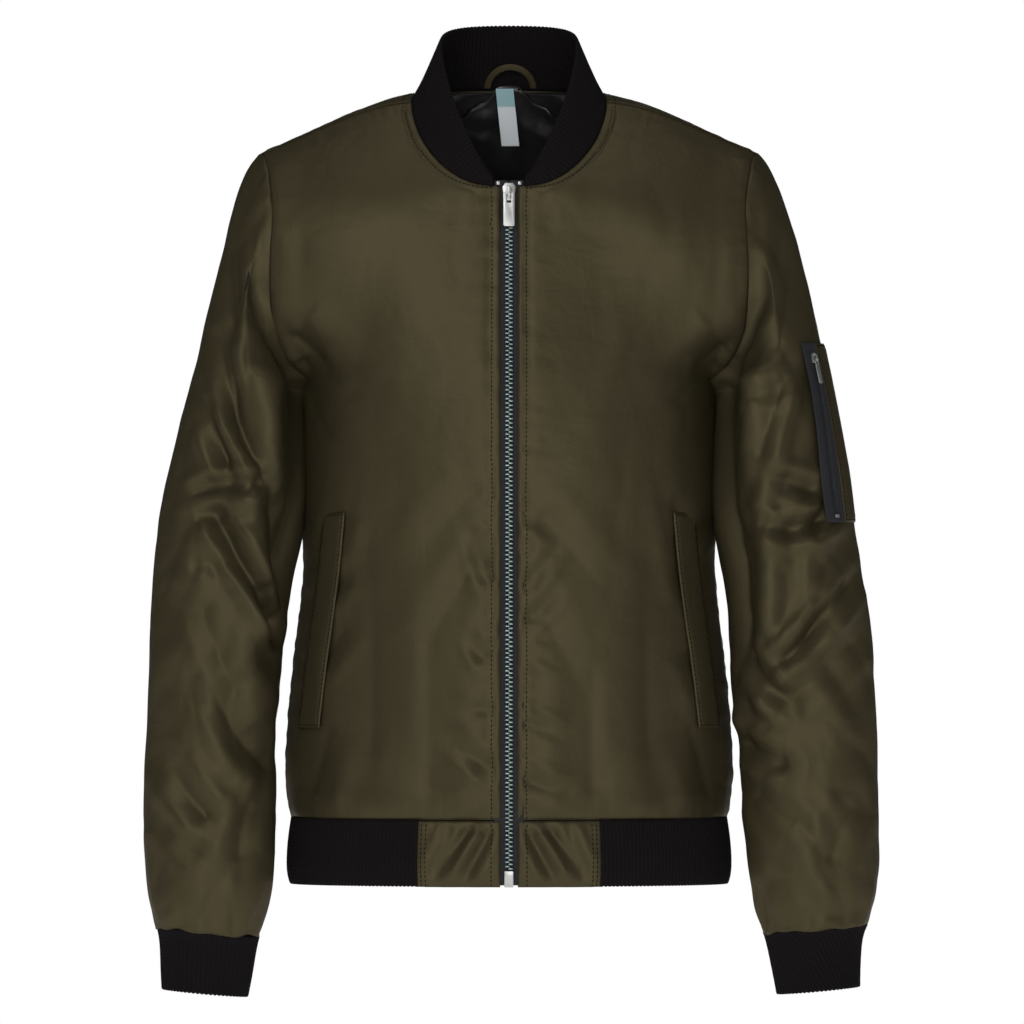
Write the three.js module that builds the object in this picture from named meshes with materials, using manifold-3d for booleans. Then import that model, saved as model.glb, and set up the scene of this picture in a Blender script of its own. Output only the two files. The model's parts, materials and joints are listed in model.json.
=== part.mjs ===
// A bomber jacket as it hangs on a body, hollow, with nobody in it.
// Millimetres, Z up. The front faces -Y and the wearer's left is +X. Height 0 is
// where the neck seam meets the shoulder, and X 0 is the middle of the zip.
import * as THREE from 'three';
import { mergeVertices } from 'three/addons/utils/BufferGeometryUtils.js';
import Module from 'manifold-3d';

const wasm = await Module();
wasm.setup();

// Cloth
const SHELL_WALL = 2;
const RIB_WALL = 3;
const LINING_WALL = 1;
const SEAM_GAP = 0.35;

// Knitted ribs
const CUFF_RIB_PITCH = 4.2;
const HEM_RIB_PITCH = 4.6;
const RIB_DEPTH = 1.2;

// Zip
const ZIP_OPENING = 13.6;
const CHAIN_WIDTH = 5.8;
const CHAIN_THICKNESS = 2.6;
const CHAIN_PROUD = 0.6;
const TAPE_WIDTH = 11.4;
const TAPE_WALL = 1;
const TAPE_TOP_Z = -66;
const TAPE_FROM = 0.5;
const ZIP_BOX = { left: -3.6, right: 3.4, proud: 1, thickness: 3, height: 13, bottom: 0.6 };
const SLIDER = { z: -76, width: 10, foot: 7.6, length: 14, thickness: 4.2, lift: 2.4, scale: 1 };
const PULL = { width: 9, length: 27 };
const STOP = { x: 8.3, width: 2.8, height: 2.6, thickness: 2, z: -68.6 };

// Heights of the body
const NECK_PIT_Z = -71;
const BACK_NECK_Z = 8;
const UNDERARM_Z = -222;
const HEM_SEAM_Z = -562;
const HEM_DEPTH = 52;
const CENTRE_RISE = 345;
const BACK_RISE = 350;

// Armhole, as an ellipse seen from the side, leaning out as its table says
const ARMHOLE_MIDDLE_Z = -131.5;
const ARMHOLE_HALF_HEIGHT = 90.5;
const ARMHOLE_HALF_DEPTH = 62;
const SHOULDER_SEAM_ANGLE = 13;

// Rows of the body's grid. The lower rows are given as shares of the side seam.
const LOWER_ROWS = [0, 0.044, 0.124, 0.241, 0.368, 0.494, 0.62, 0.747, 0.873, 1];
const UNDERARM_ROW = LOWER_ROWS.length - 1;
const PIT_ROW = 13;
const FRONT_TOP_ROW = 21;
const BACK_NECK_ROW = 14;
const RIDGE_ROW = 21;
const BACK_TOP_ROW = 22;

// Columns of half a panel, from the middle to the side. The hem tab ends on one.
const COLUMN_SHARES = [0, 0.08, 0.16, 0.245, 0.34, 0.44, 0.55, 0.66, 0.78, 0.89, 1];
const HEM_TAB_COLUMN = 3;

const SIDE_SEAM = [
  { z: -562, x: 171 },
  { z: -547, x: 174.5 },
  { z: -526, x: 176 },
  { z: -488, x: 174 },
  { z: -457, x: 171 },
  { z: -423, x: 167.5 },
  { z: -392, x: 163 },
  { z: -345, x: 159 },
  { z: -300, x: 158 },
  { z: -222, x: 158 },
];

const CENTRE_FRONT = [
  { z: -562, y: -117 },
  { z: -545, y: -122 },
  { z: -500, y: -121 },
  { z: -400, y: -119 },
  { z: -300, y: -121 },
  { z: -230, y: -115 },
  { z: -150, y: -95 },
  { z: -71, y: -76 },
];

const CENTRE_BACK = [
  { z: -562, y: 115 },
  { z: -545, y: 119 },
  { z: -500, y: 113 },
  { z: -400, y: 101 },
  { z: -300, y: 107 },
  { z: -180, y: 112 },
  { z: -100, y: 100 },
  { z: -40, y: 80 },
  { z: 8, y: 62 },
];

// The neck seam on the wearer's left, from the zip to the middle of the back.
// The shoulder seam meets it at point 7, and the top of the shoulder at point 8.
const NECK_SEAM = [
  { x: 6.8, y: -76, z: -71 },
  { x: 20, y: -75.5, z: -69.5 },
  { x: 33, y: -73, z: -66 },
  { x: 47, y: -66, z: -58 },
  { x: 59, y: -55, z: -46 },
  { x: 68, y: -42, z: -33 },
  { x: 74, y: -28, z: -17 },
  { x: 76, y: -14, z: -3 },
  { x: 74.5, y: 6, z: 2 },
  { x: 68, y: 29, z: 5 },
  { x: 52, y: 47, z: 7 },
  { x: 28, y: 58, z: 8 },
  { x: 0, y: 62, z: 8 },
];
const NECK_SHOULDER_POINT = 7;
const NECK_RIDGE_POINT = 8;
const NECK_LAST_POINT = NECK_SEAM.length - 1;

// Distance of the armhole seam from the middle, by angle: 0 is the top of the
// shoulder, 90 the front, 180 the underarm and 270 the back.
const ARMHOLE = [
  { angle: 0, x: 192 },
  { angle: 13, x: 192 },
  { angle: 30, x: 188.5 },
  { angle: 60, x: 184 },
  { angle: 90, x: 187 },
  { angle: 120, x: 185 },
  { angle: 140, x: 178 },
  { angle: 160, x: 166 },
  { angle: 180, x: 158 },
  { angle: 200, x: 166 },
  { angle: 220, x: 178 },
  { angle: 240, x: 184 },
  { angle: 270, x: 186 },
  { angle: 300, x: 186 },
  { angle: 330, x: 189 },
  { angle: 360, x: 192 },
  { angle: 373, x: 192 },
];

// How each row leaves the middle and reaches the side: the length of its pull at
// both ends, its lean outwards and its rise, and its turn at the side in degrees.
const FRONT_SWEEP = [
  { row: 0, reach: 92, lean: 0, drop: 0, sideReach: 68, turn: 90, rise: 0 },
  { row: 9, reach: 92, lean: 0, drop: 0, sideReach: 66, turn: 88, rise: 0 },
  { row: 11, reach: 88, lean: 0, drop: 0, sideReach: 58, turn: 70, rise: 0 },
  { row: 13, reach: 82, lean: 0.06, drop: -0.03, sideReach: 56, turn: 56, rise: 0.02 },
  { row: 15, reach: 64, lean: 0.14, drop: -0.16, sideReach: 54, turn: 41, rise: 0.06 },
  { row: 17, reach: 50, lean: 0.16, drop: -0.2, sideReach: 50, turn: 28, rise: 0.12 },
  { row: 19, reach: 42, lean: 0.1, drop: -0.12, sideReach: 44, turn: 14, rise: 0.24 },
  { row: 21, reach: 38, lean: 0, drop: -0.04, sideReach: 40, turn: 0, rise: 0.4 },
];

const BACK_SWEEP = [
  { row: 0, reach: 95, lean: 0, drop: 0, sideReach: 68, turn: 90, rise: 0 },
  { row: 9, reach: 95, lean: 0, drop: 0, sideReach: 64, turn: 88, rise: 0 },
  { row: 12, reach: 88, lean: 0, drop: 0, sideReach: 56, turn: 64, rise: 0.02 },
  { row: 14, reach: 76, lean: 0.1, drop: -0.04, sideReach: 54, turn: 50, rise: 0.05 },
  { row: 16, reach: 64, lean: 0.22, drop: -0.08, sideReach: 52, turn: 36, rise: 0.12 },
  { row: 18, reach: 52, lean: 0.16, drop: -0.08, sideReach: 46, turn: 22, rise: 0.22 },
  { row: 20, reach: 42, lean: 0.06, drop: -0.05, sideReach: 42, turn: 8, rise: 0.34 },
  { row: 21, reach: 38, lean: 0, drop: -0.04, sideReach: 40, turn: 0, rise: 0.4 },
  { row: 22, reach: 38, lean: 0, drop: -0.04, sideReach: 40, turn: 0, rise: 0.4 },
];

// Sections down each sleeve: its outermost point, its innermost point, how far
// forward its middle lies, half its depth from front to back, and how far it
// keeps the armhole's own bulge.
const SLEEVE_RINGS = {
  left: [
    { outX: 202, outZ: -51, inX: 159.8, inZ: -226, middleY: -2, half: 62.5, seamShape: 1 },
    { outX: 211, outZ: -70, inX: 162, inZ: -230.5, middleY: -5, half: 63, seamShape: 1 },
    { outX: 222, outZ: -101, inX: 163, inZ: -238, middleY: -10, half: 63, seamShape: 0.9 },
    { outX: 234, outZ: -147, inX: 163, inZ: -252, middleY: -17, half: 62, seamShape: 0.7 },
    { outX: 245, outZ: -197, inX: 161.5, inZ: -273, middleY: -24, half: 61, seamShape: 0.45 },
    { outX: 254, outZ: -240, inX: 160, inZ: -303, middleY: -29, half: 60, seamShape: 0.2 },
    { outX: 263, outZ: -287, inX: 160, inZ: -345, middleY: -31, half: 58, seamShape: 0 },
    { outX: 270, outZ: -340, inX: 163, inZ: -390, middleY: -32, half: 57, seamShape: 0 },
    { outX: 279, outZ: -387, inX: 168, inZ: -430, middleY: -33, half: 56, seamShape: 0 },
    { outX: 284.5, outZ: -432, inX: 172, inZ: -465, middleY: -34, half: 54, seamShape: 0 },
    { outX: 286, outZ: -475, inX: 177, inZ: -500, middleY: -35, half: 53, seamShape: 0 },
    { outX: 287.5, outZ: -520, inX: 180, inZ: -537, middleY: -36, half: 52, seamShape: 0 },
    { outX: 289.5, outZ: -565, inX: 181, inZ: -573, middleY: -37, half: 51, seamShape: 0 },
    { outX: 290, outZ: -605, inX: 186, inZ: -608, middleY: -38, half: 49, seamShape: 0 },
    { outX: 287, outZ: -629, inX: 188.5, inZ: -634, middleY: -39, half: 46, seamShape: 0 },
    { outX: 279.5, outZ: -644, inX: 197, inZ: -651, middleY: -39, half: 39, seamShape: 0 },
  ],
  right: [
    { outX: 202, outZ: -51, inX: 159.8, inZ: -226, middleY: -2, half: 62.5, seamShape: 1 },
    { outX: 211, outZ: -70, inX: 162, inZ: -230.5, middleY: -5, half: 63, seamShape: 1 },
    { outX: 219, outZ: -101, inX: 163, inZ: -238, middleY: -10, half: 63, seamShape: 0.9 },
    { outX: 231, outZ: -148, inX: 163, inZ: -252, middleY: -17, half: 62, seamShape: 0.7 },
    { outX: 242, outZ: -198, inX: 161.5, inZ: -273, middleY: -24, half: 61, seamShape: 0.45 },
    { outX: 253, outZ: -239, inX: 160, inZ: -303, middleY: -29, half: 60, seamShape: 0.2 },
    { outX: 266, outZ: -285, inX: 160, inZ: -345, middleY: -31, half: 58, seamShape: 0 },
    { outX: 275, outZ: -337, inX: 164.5, inZ: -390, middleY: -32, half: 57, seamShape: 0 },
    { outX: 279, outZ: -387, inX: 171, inZ: -425, middleY: -33, half: 56, seamShape: 0 },
    { outX: 281, outZ: -432, inX: 178, inZ: -458, middleY: -34, half: 54, seamShape: 0 },
    { outX: 281.5, outZ: -475, inX: 181, inZ: -490, middleY: -35, half: 53, seamShape: 0 },
    { outX: 284.5, outZ: -518, inX: 180.5, inZ: -528, middleY: -36, half: 52, seamShape: 0 },
    { outX: 286.5, outZ: -560, inX: 180, inZ: -568, middleY: -37, half: 51, seamShape: 0 },
    { outX: 284.5, outZ: -604, inX: 181.5, inZ: -610, middleY: -38, half: 49, seamShape: 0 },
    { outX: 282.5, outZ: -629, inX: 186, inZ: -633, middleY: -39, half: 46, seamShape: 0 },
    { outX: 274.5, outZ: -646, inX: 193.5, inZ: -654, middleY: -39, half: 39, seamShape: 0 },
  ],
};
const SLEEVE_ROWS = 18;
const GATHER_ROWS = 3;
const GATHER_DEPTH = 1.5;

// Sections down each cuff below its seam, named as the sleeves' are
const CUFF_RINGS = {
  left: [
    { outX: 275, outZ: -655, inX: 200, inZ: -662, middleY: -39, half: 36, seamShape: 0 },
    { outX: 274, outZ: -676, inX: 204, inZ: -682, middleY: -39, half: 33.5, seamShape: 0 },
    { outX: 273.5, outZ: -693, inX: 207.5, inZ: -699, middleY: -39.5, half: 33, seamShape: 0 },
  ],
  right: [
    { outX: 271.8, outZ: -657, inX: 196, inZ: -664, middleY: -39, half: 36, seamShape: 0 },
    { outX: 271.5, outZ: -678, inX: 199, inZ: -684, middleY: -39, half: 33.5, seamShape: 0 },
    { outX: 270.5, outZ: -695, inX: 202.5, inZ: -701, middleY: -39.5, half: 33, seamShape: 0 },
  ],
};

// The hem band's bulge over its seam, by share of its depth from the seam down
const HEM_BULGE = [
  { share: 0, out: 0 },
  { share: 0.36, out: 3 },
  { share: 0.82, out: 4 },
  { share: 1, out: 0.5 },
];

// The collar's free edge on the wearer's left, by share of the neck seam's
// length from the zip to the middle of the back
const COLLAR_EDGE = [
  { share: 0, x: 11, y: -77, z: -68 },
  { share: 0.12, x: 21, y: -75, z: -54 },
  { share: 0.22, x: 30, y: -69, z: -38 },
  { share: 0.32, x: 39, y: -60, z: -18 },
  { share: 0.42, x: 47, y: -47, z: 3 },
  { share: 0.52, x: 53, y: -29, z: 28 },
  { share: 0.62, x: 54, y: -8, z: 42 },
  { share: 0.74, x: 48, y: 15, z: 50 },
  { share: 0.87, x: 29, y: 38, z: 54 },
  { share: 1, x: 0, y: 49, z: 55 },
];
const COLLAR_START = 0.45;
const COLLAR_ROWS = [0, 0.14, 0.56, 1];

// Largest folds: the line of each on the front or the back seen straight on,
// how wide it is and how deep it goes in, or stands out where that is negative
const FOLDS = {
  sleeve_right: [
    { side: -1, x: 212, z: -121, toX: 160, toZ: -190, width: 24, depth: 6 },
    { side: -1, x: 224, z: -196, toX: 197, toZ: -288, width: 22, depth: 3 },
    { side: -1, x: 246, z: -309, toX: 190, toZ: -298, width: 24, depth: 6 },
    { side: -1, x: 233, z: -323, toX: 178, toZ: -430, width: 26, depth: 7 },
    { side: -1, x: 233, z: -460, toX: 184, toZ: -524, width: 26, depth: 5 },
    { side: -1, x: 266, z: -515, toX: 230, toZ: -564, width: 24, depth: 4 },
    { side: 1, x: 214, z: -130, toX: 172, toZ: -200, width: 26, depth: 5 },
    { side: 1, x: 252, z: -330, toX: 190, toZ: -352, width: 26, depth: 6 },
    { side: 1, x: 236, z: -352, toX: 186, toZ: -430, width: 26, depth: 5 },
    { side: 1, x: 256, z: -492, toX: 196, toZ: -548, width: 26, depth: 5 },
  ],
  sleeve_left: [
    { side: -1, x: 206, z: -104, toX: 178, toZ: -200, width: 24, depth: 6 },
    { side: -1, x: 220, z: -226, toX: 208, toZ: -288, width: 24, depth: -3 },
    { side: -1, x: 214, z: -303, toX: 240, toZ: -309, width: 22, depth: 5 },
    { side: -1, x: 195, z: -333, toX: 250, toZ: -329, width: 24, depth: 6 },
    { side: -1, x: 214, z: -491, toX: 268, toZ: -436, width: 28, depth: 6 },
    { side: -1, x: 181, z: -498, toX: 204, toZ: -522, width: 24, depth: 5 },
    { side: 1, x: 212, z: -126, toX: 174, toZ: -204, width: 26, depth: 5 },
    { side: 1, x: 196, z: -322, toX: 256, toZ: -342, width: 26, depth: 6 },
    { side: 1, x: 198, z: -386, toX: 248, toZ: -356, width: 26, depth: 4 },
    { side: 1, x: 200, z: -520, toX: 262, toZ: -470, width: 26, depth: 5 },
  ],
  front_right: [{ side: -1, x: 168, z: -176, toX: 112, toZ: -240, width: 34, depth: 3 }],
  front_left: [{ side: -1, x: 174, z: -196, toX: 122, toZ: -250, width: 34, depth: 2.5 }],
  back: [
    { side: 1, x: 168, z: -170, toX: 104, toZ: -232, width: 34, depth: 3 },
    { side: 1, x: -170, z: -178, toX: -110, toZ: -246, width: 34, depth: 3 },
  ],
};

// Side pockets: the inner edge of each welt as seen from the front
const WELT = { topX: 127, topZ: -324, bottomX: 147, bottomZ: -491, width: 28, wall: 1.2 };

const WELT_LIFT = 0.9;

// Pocket on the wearer's left sleeve, in degrees round it from the shoulder line
// towards the front. Its small zip is drawn as the large one is, at its own scale.
const SLEEVE_POCKET = {
  topZ: -193,
  bottomZ: -332,
  tapeFrom: 52,
  tapeTo: 32,
  patchFrom: 30,
  patchTo: -40,
  lift: 1.4,
  wall: 1.2,
};
const POCKET_CHAIN = { halfAngle: 2.4, wall: 1, topBelowSlider: 5.5, bottomAbovePocket: 8 };
const POCKET_SLIDER = { fromTop: 12, width: 9, foot: 7, length: 13, thickness: 3, scale: 0.6 };
const POCKET_PULL = { width: 4.6, length: 20 };
const POCKET_STOP = { width: 4, thickness: 1.2, height: 2.4, fromBottom: 5 };

// Hanger loop, measured along the inside of the collar from its seam, and the
// blank label beside it
const LOOP = { middleX: 1, half: 18, height: 18, foot: 2, width: 5, thickness: 1.6, seat: 3, bow: 3 };
const LOOP_STEPS = 12;
const LABEL = { x: -3.6, y: 56, top: 8, width: 14, length: 45, lean: 6, wall: 0.8, bow: 1.5 };
const LABEL_STEPS = 6;

// Lining that shows through the neck, by row and column of the back panel
const LINING = { rows: 6, columns: 8, topRow: 13.84, bottomRow: 10.8, halfColumns: 5.2, gap: 1.2 };

const COLOURS = {
  olive: { color: 0x453f2e, roughness: 0.45, metalness: 0 },
  rib: { color: 0x141013, roughness: 0.95, metalness: 0 },
  lining: { color: 0x0b0b0d, roughness: 0.4, metalness: 0 },
  tape: { color: 0x24262a, roughness: 0.85, metalness: 0 },
  teeth: { color: 0x7d9494, roughness: 0.35, metalness: 0.9 },
  silver: { color: 0xdfe2df, roughness: 0.25, metalness: 1 },
  label: { color: 0xe9eef2, roughness: 0.6, metalness: 0 },
};

const jacket = new THREE.Group();

// Small helpers
const point = ({ x, y, z }) => new THREE.Vector3(x, y, z);
const mirrored = (p) => new THREE.Vector3(-p.x, p.y, p.z);
const mix = (a, b, share) => new THREE.Vector3().lerpVectors(a, b, share);
const range = (count) => Array.from({ length: count }, (unused, i) => i);
const radians = THREE.MathUtils.degToRad;
const { clamp, smoothstep } = THREE.MathUtils;

// Reads a table at any value of its key column, smoothly between its rows
function track(table, key) {
  const columns = Object.keys(table[0]).filter((name) => name !== key);
  const last = table.length - 1;
  return (value) => {
    let i = 0;
    while (i < last - 1 && value > table[i + 1][key]) i += 1;
    const [a, b] = [table[i], table[i + 1]];
    const [before, after] = [table[Math.max(i - 1, 0)], table[Math.min(i + 2, last)]];
    const span = b[key] - a[key];
    const t = clamp((value - a[key]) / span, 0, 1);
    const found = {};
    for (const name of columns) {
      const slopeA = ((b[name] - before[name]) / (b[key] - before[key])) * span;
      const slopeB = ((after[name] - a[name]) / (after[key] - a[key])) * span;
      const rise = b[name] - a[name];
      const bend = 3 * rise - 2 * slopeA - slopeB;
      found[name] = a[name] + t * (slopeA + t * (bend + t * (slopeA + slopeB - 2 * rise)));
    }
    return found;
  };
}

function addMesh(name, geometry, finish) {
  const mesh = new THREE.Mesh(geometry, new THREE.MeshStandardMaterial(COLOURS[finish]));
  mesh.name = name;
  jacket.add(mesh);
  return mesh;
}

function geometryOf(points, triangles) {
  const geometry = new THREE.BufferGeometry();
  const positions = points.flatMap((p) => p.toArray());
  geometry.setAttribute('position', new THREE.Float32BufferAttribute(positions, 3));
  let volume = 0;
  for (const [a, b, c] of triangles) {
    volume += points[a].dot(new THREE.Vector3().crossVectors(points[b], points[c]));
  }
  const outwards = volume < 0 ? triangles.map(([a, b, c]) => [a, c, b]) : triangles;
  geometry.setIndex(outwards.flat());
  geometry.computeVertexNormals();
  return geometry;
}

const asTriangles = (faces) => faces.flatMap(([a, b, c, d]) => [[a, b, c], [a, c, d]]);

// Cloth: four-sided faces between numbered points, with their normals
function measureNormals(sheet) {
  sheet.normals = sheet.points.map(() => new THREE.Vector3());
  for (const face of sheet.faces) {
    const [a, b, c, d] = face.map((i) => sheet.points[i]);
    const across = new THREE.Vector3().subVectors(c, a);
    const area = across.cross(new THREE.Vector3().subVectors(d, b));
    for (const i of face) sheet.normals[i].add(area);
  }
  return sheet;
}

function makeSheet(rows, { wraps = false, flip = false, isFree = () => false } = {}) {
  const grid = [];
  const points = [];
  for (const row of rows) grid.push(row.map((p) => points.push(p.clone()) - 1));
  const faces = [];
  for (let r = 0; r < grid.length - 1; r += 1) {
    const count = grid[r].length;
    for (let c = 0; c < (wraps ? count : count - 1); c += 1) {
      const d = (c + 1) % count;
      const face = [grid[r][c], grid[r][d], grid[r + 1][d], grid[r + 1][c]];
      faces.push(flip ? face.reverse() : face);
    }
  }
  return measureNormals({ grid, points, faces, wraps, isFree });
}

function edgesOf({ faces }) {
  const edges = new Map();
  for (const face of faces) {
    face.forEach((a, i) => {
      const b = face[(i + 1) % face.length];
      if (edges.has(`${b},${a}`)) edges.delete(`${b},${a}`);
      else edges.set(`${a},${b}`, [a, b]);
    });
  }
  return [...edges.values()];
}

// Sheets that meet at a seam turn their edges the same way there
function shareSeamNormals(sheets) {
  const sums = new Map();
  const keyOf = (p) => p.toArray().map((value) => value.toFixed(2)).join();
  for (const sheet of sheets) {
    const rim = new Set(edgesOf(sheet).flat());
    for (const i of rim) {
      const key = keyOf(sheet.points[i]);
      const sum = sums.get(key) ?? new THREE.Vector3();
      sums.set(key, sum.add(sheet.normals[i].clone().normalize()));
    }
    sheet.rim = rim;
  }
  for (const sheet of sheets) {
    for (const i of sheet.rim) sheet.normals[i] = sums.get(keyOf(sheet.points[i])).clone();
    for (const normal of sheet.normals) normal.normalize();
  }
}

// Moves each sewn edge half a gap back from its seam
function leaveSeamGap(sheet) {
  const pulls = new Map();
  for (const [a, b] of edgesOf(sheet)) {
    if (sheet.isFree(a, b)) continue;
    const along = new THREE.Vector3().subVectors(sheet.points[b], sheet.points[a]);
    for (const i of [a, b]) {
      const inwards = new THREE.Vector3().crossVectors(sheet.normals[i], along).normalize();
      pulls.set(i, [...(pulls.get(i) ?? []), inwards]);
    }
  }
  for (const [i, found] of pulls) {
    const sum = found.reduce((total, way) => total.clone().add(way), new THREE.Vector3());
    const alike = found.length > 1 ? Math.max(found[0].dot(found[1]), 0) : 0;
    sheet.points[i].addScaledVector(sum, SEAM_GAP / 2 / (1 + alike));
  }
}

function clothWall({ points, normals, faces }, wall, edges) {
  const count = points.length;
  const inner = points.map((p, i) => p.clone().addScaledVector(normals[i], -wall));
  const back = faces.map((face) => face.map((i) => i + count).reverse());
  const rims = edges.map(([a, b]) => [b, a, a + count, b + count]);
  return geometryOf([...points, ...inner], asTriangles([...faces, ...back, ...rims]));
}

// Joins two chains of points with triangles, each chain given with its places
function stitch(triangles, a, b, placesA, placesB) {
  let i = 0;
  let k = 0;
  while (i < a.length - 1 || k < b.length - 1) {
    const aIsNext = k === b.length - 1 || (i < a.length - 1 && placesA[i + 1] <= placesB[k + 1]);
    if (aIsNext) {
      triangles.push([a[i + 1], a[i], b[k]]);
      i += 1;
    } else {
      triangles.push([a[i], b[k], b[k + 1]]);
      k += 1;
    }
  }
}

// A closed wall between an outer grid of points and an inner one that may be
// coarser along its rows. Places say where each column lies, from 0 to 1.
function wallBetween(outer, inner, { wraps = false, outerPlaces, innerPlaces } = {}) {
  const out = makeSheet(outer, { wraps });
  const into = makeSheet(inner, { wraps });
  const shift = out.points.length;
  const innerGrid = into.grid.map((row) => row.map((i) => i + shift));
  const innerFaces = into.faces.map((face) => face.map((i) => i + shift).reverse());
  const triangles = asTriangles([...out.faces, ...innerFaces]);
  const around = (row) => (wraps ? [...row, row[0]] : row);
  const evenPlaces = (row) => row.map((unused, i) => i / (wraps ? row.length : row.length - 1));
  const placesOf = (given, row) => [...(given ?? evenPlaces(row)), ...(wraps ? [1] : [])];
  const outerAt = placesOf(outerPlaces, outer[0]);
  const innerAt = placesOf(innerPlaces, inner[0]);
  const turned = (list) => [...list].reverse();
  const turnedPlaces = (list) => turned(list).map((value) => 1 - value);
  const last = (grid) => turned(around(grid.at(-1)));
  stitch(triangles, around(out.grid[0]), around(innerGrid[0]), outerAt, innerAt);
  stitch(triangles, last(out.grid), last(innerGrid), turnedPlaces(outerAt), turnedPlaces(innerAt));
  if (!wraps) {
    const column = (grid, c) => grid.map((row) => row.at(c));
    const rowsAt = evenPlaces(outer);
    stitch(triangles, column(out.grid, -1), column(innerGrid, -1), rowsAt, rowsAt);
    const [first, firstInner] = [column(out.grid, 0), column(innerGrid, 0)];
    stitch(triangles, turned(first), turned(firstInner), rowsAt, rowsAt);
  }
  return geometryOf([...out.points, ...into.points], triangles);
}

const gridOf = (sheet, list) => sheet.grid.map((row) => row.map((i) => list[i]));

// Reads a sheet between its points, by row and column of its grid
function readSheet(sheet, row, column) {
  const r = clamp(Math.floor(row), 0, sheet.grid.length - 2);
  const count = sheet.grid[0].length;
  const c = sheet.wraps ? Math.floor(column) : clamp(Math.floor(column), 0, count - 2);
  const wrapped = (i) => ((i % count) + count) % count;
  const read = (list) => {
    const corner = (dr, dc) => list[sheet.grid[r + dr][wrapped(c + dc)]];
    const low = mix(corner(0, 0), corner(0, 1), column - c);
    return mix(low, mix(corner(1, 0), corner(1, 1), column - c), row - r);
  };
  return { place: read(sheet.points), out: read(sheet.normals).normalize() };
}

// A patch that lies on a sheet, moved out from the sheet's own points. Its
// function turns shares of the patch into the sheet's row and column.
function patchOn(sheet, rowCount, columnCount, gridPlace, lift, wall) {
  const read = range(rowCount + 1).map((r) =>
    range(columnCount + 1).map((c) => {
      const { row, column } = gridPlace(r / rowCount, c / columnCount);
      return readSheet(sheet, row, column);
    }),
  );
  const at = (distance) =>
    read.map((line) => line.map(({ place, out }) => place.clone().addScaledVector(out, distance)));
  return wallBetween(at(lift + wall), at(lift));
}

// A ribbed band: a plain wall inside, and ribs raised on the outer points. Its
// sewn row has no ribs and stays on the straight edges of its neighbour.
function ribbedWall(sheet, { pitch, sewnRow, from = 0, to = null }) {
  const { wraps } = sheet;
  const rows = gridOf(sheet, sheet.points);
  const normals = gridOf(sheet, sheet.normals);
  const count = rows[0].length;
  const last = to ?? (wraps ? count : count - 1);
  const closing = (row) => (wraps ? [...row, row[0]] : row);
  const seam = closing(rows[sewnRow]);
  const lengths = [0];
  for (let c = 1; c < seam.length; c += 1) {
    lengths.push(lengths[c - 1] + seam[c].distanceTo(seam[c - 1]));
  }
  const cellOf = (column) => Math.min(Math.floor(column), seam.length - 2);
  const lengthAt = (column) => {
    const c = cellOf(column);
    return lengths[c] + (lengths[c + 1] - lengths[c]) * (column - c);
  };
  const columnAt = (length) => {
    let c = 0;
    while (c < seam.length - 2 && lengths[c + 1] < length) c += 1;
    return c + (length - lengths[c]) / (lengths[c + 1] - lengths[c]);
  };
  const [start, end] = [lengthAt(from), lengthAt(last)];
  const steps = 2 * Math.round((end - start) / pitch);
  const fine = range(steps + (wraps ? 0 : 1)).map((m) =>
    columnAt(start + ((end - start) * m) / steps),
  );
  const between = range(count).filter((c) => c > from && c < last);
  const coarse = wraps ? range(count) : [from, ...between, last];
  const placeOf = (column) => (lengthAt(column) - start) / (end - start);
  const straight = (line, column) => {
    const c = cellOf(column);
    return mix(closing(line)[c], closing(line)[c + 1], column - c);
  };
  const outer = rows.map((row, r) => {
    const curve = new THREE.CatmullRomCurve3(row, wraps, 'catmullrom', 0.5);
    return fine.map((column, m) => {
      if (r === sewnRow) return straight(row, column);
      const out = straight(normals[r], column).normalize();
      return curve.getPoint(column / (seam.length - 1)).addScaledVector(out, (m % 2) * RIB_DEPTH);
    });
  });
  const inner = rows.map((row, r) => {
    const back = row.map((p, c) => p.clone().addScaledVector(normals[r][c], -RIB_WALL));
    return coarse.map((column) => straight(back, column));
  });
  const [outerPlaces, innerPlaces] = [fine.map(placeOf), coarse.map(placeOf)];
  return wallBetween(outer, inner, { wraps, outerPlaces, innerPlaces });
}

// Lines of the body
const sideSeam = track(SIDE_SEAM, 'z');
const centreFront = track(CENTRE_FRONT, 'z');
const centreBack = track(CENTRE_BACK, 'z');
const armholeX = track(ARMHOLE, 'angle');
const hemBulge = track(HEM_BULGE, 'share');
const neckCurve = new THREE.CatmullRomCurve3(NECK_SEAM.map(point), false, 'catmullrom', 0.5);
const neckAt = (index) => neckCurve.getPoint(index / NECK_LAST_POINT);

function armholeAt(angle) {
  const turn = radians(angle);
  return new THREE.Vector3(
    armholeX(angle).x,
    -ARMHOLE_HALF_DEPTH * Math.sin(turn),
    ARMHOLE_MIDDLE_Z + ARMHOLE_HALF_HEIGHT * Math.cos(turn),
  );
}

// Height of a row at the middle, below the neck: its lower rows share out the
// rise to the underarm's level, and the rest are even up to the neck
function middleHeight(row, rise, topRow, topZ) {
  const low = HEM_SEAM_Z + rise * (LOWER_ROWS[row] ?? 1);
  const share = Math.max(row - UNDERARM_ROW, 0) / (topRow - UNDERARM_ROW);
  return low + (topZ - HEM_SEAM_Z - rise) * share;
}

function frontMiddle(row) {
  if (row > PIT_ROW) {
    return neckAt((NECK_SHOULDER_POINT * (row - PIT_ROW)) / (FRONT_TOP_ROW - PIT_ROW));
  }
  const z = middleHeight(row, CENTRE_RISE, PIT_ROW, NECK_PIT_Z);
  return new THREE.Vector3(ZIP_OPENING / 2, centreFront(z).y, z);
}

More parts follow.
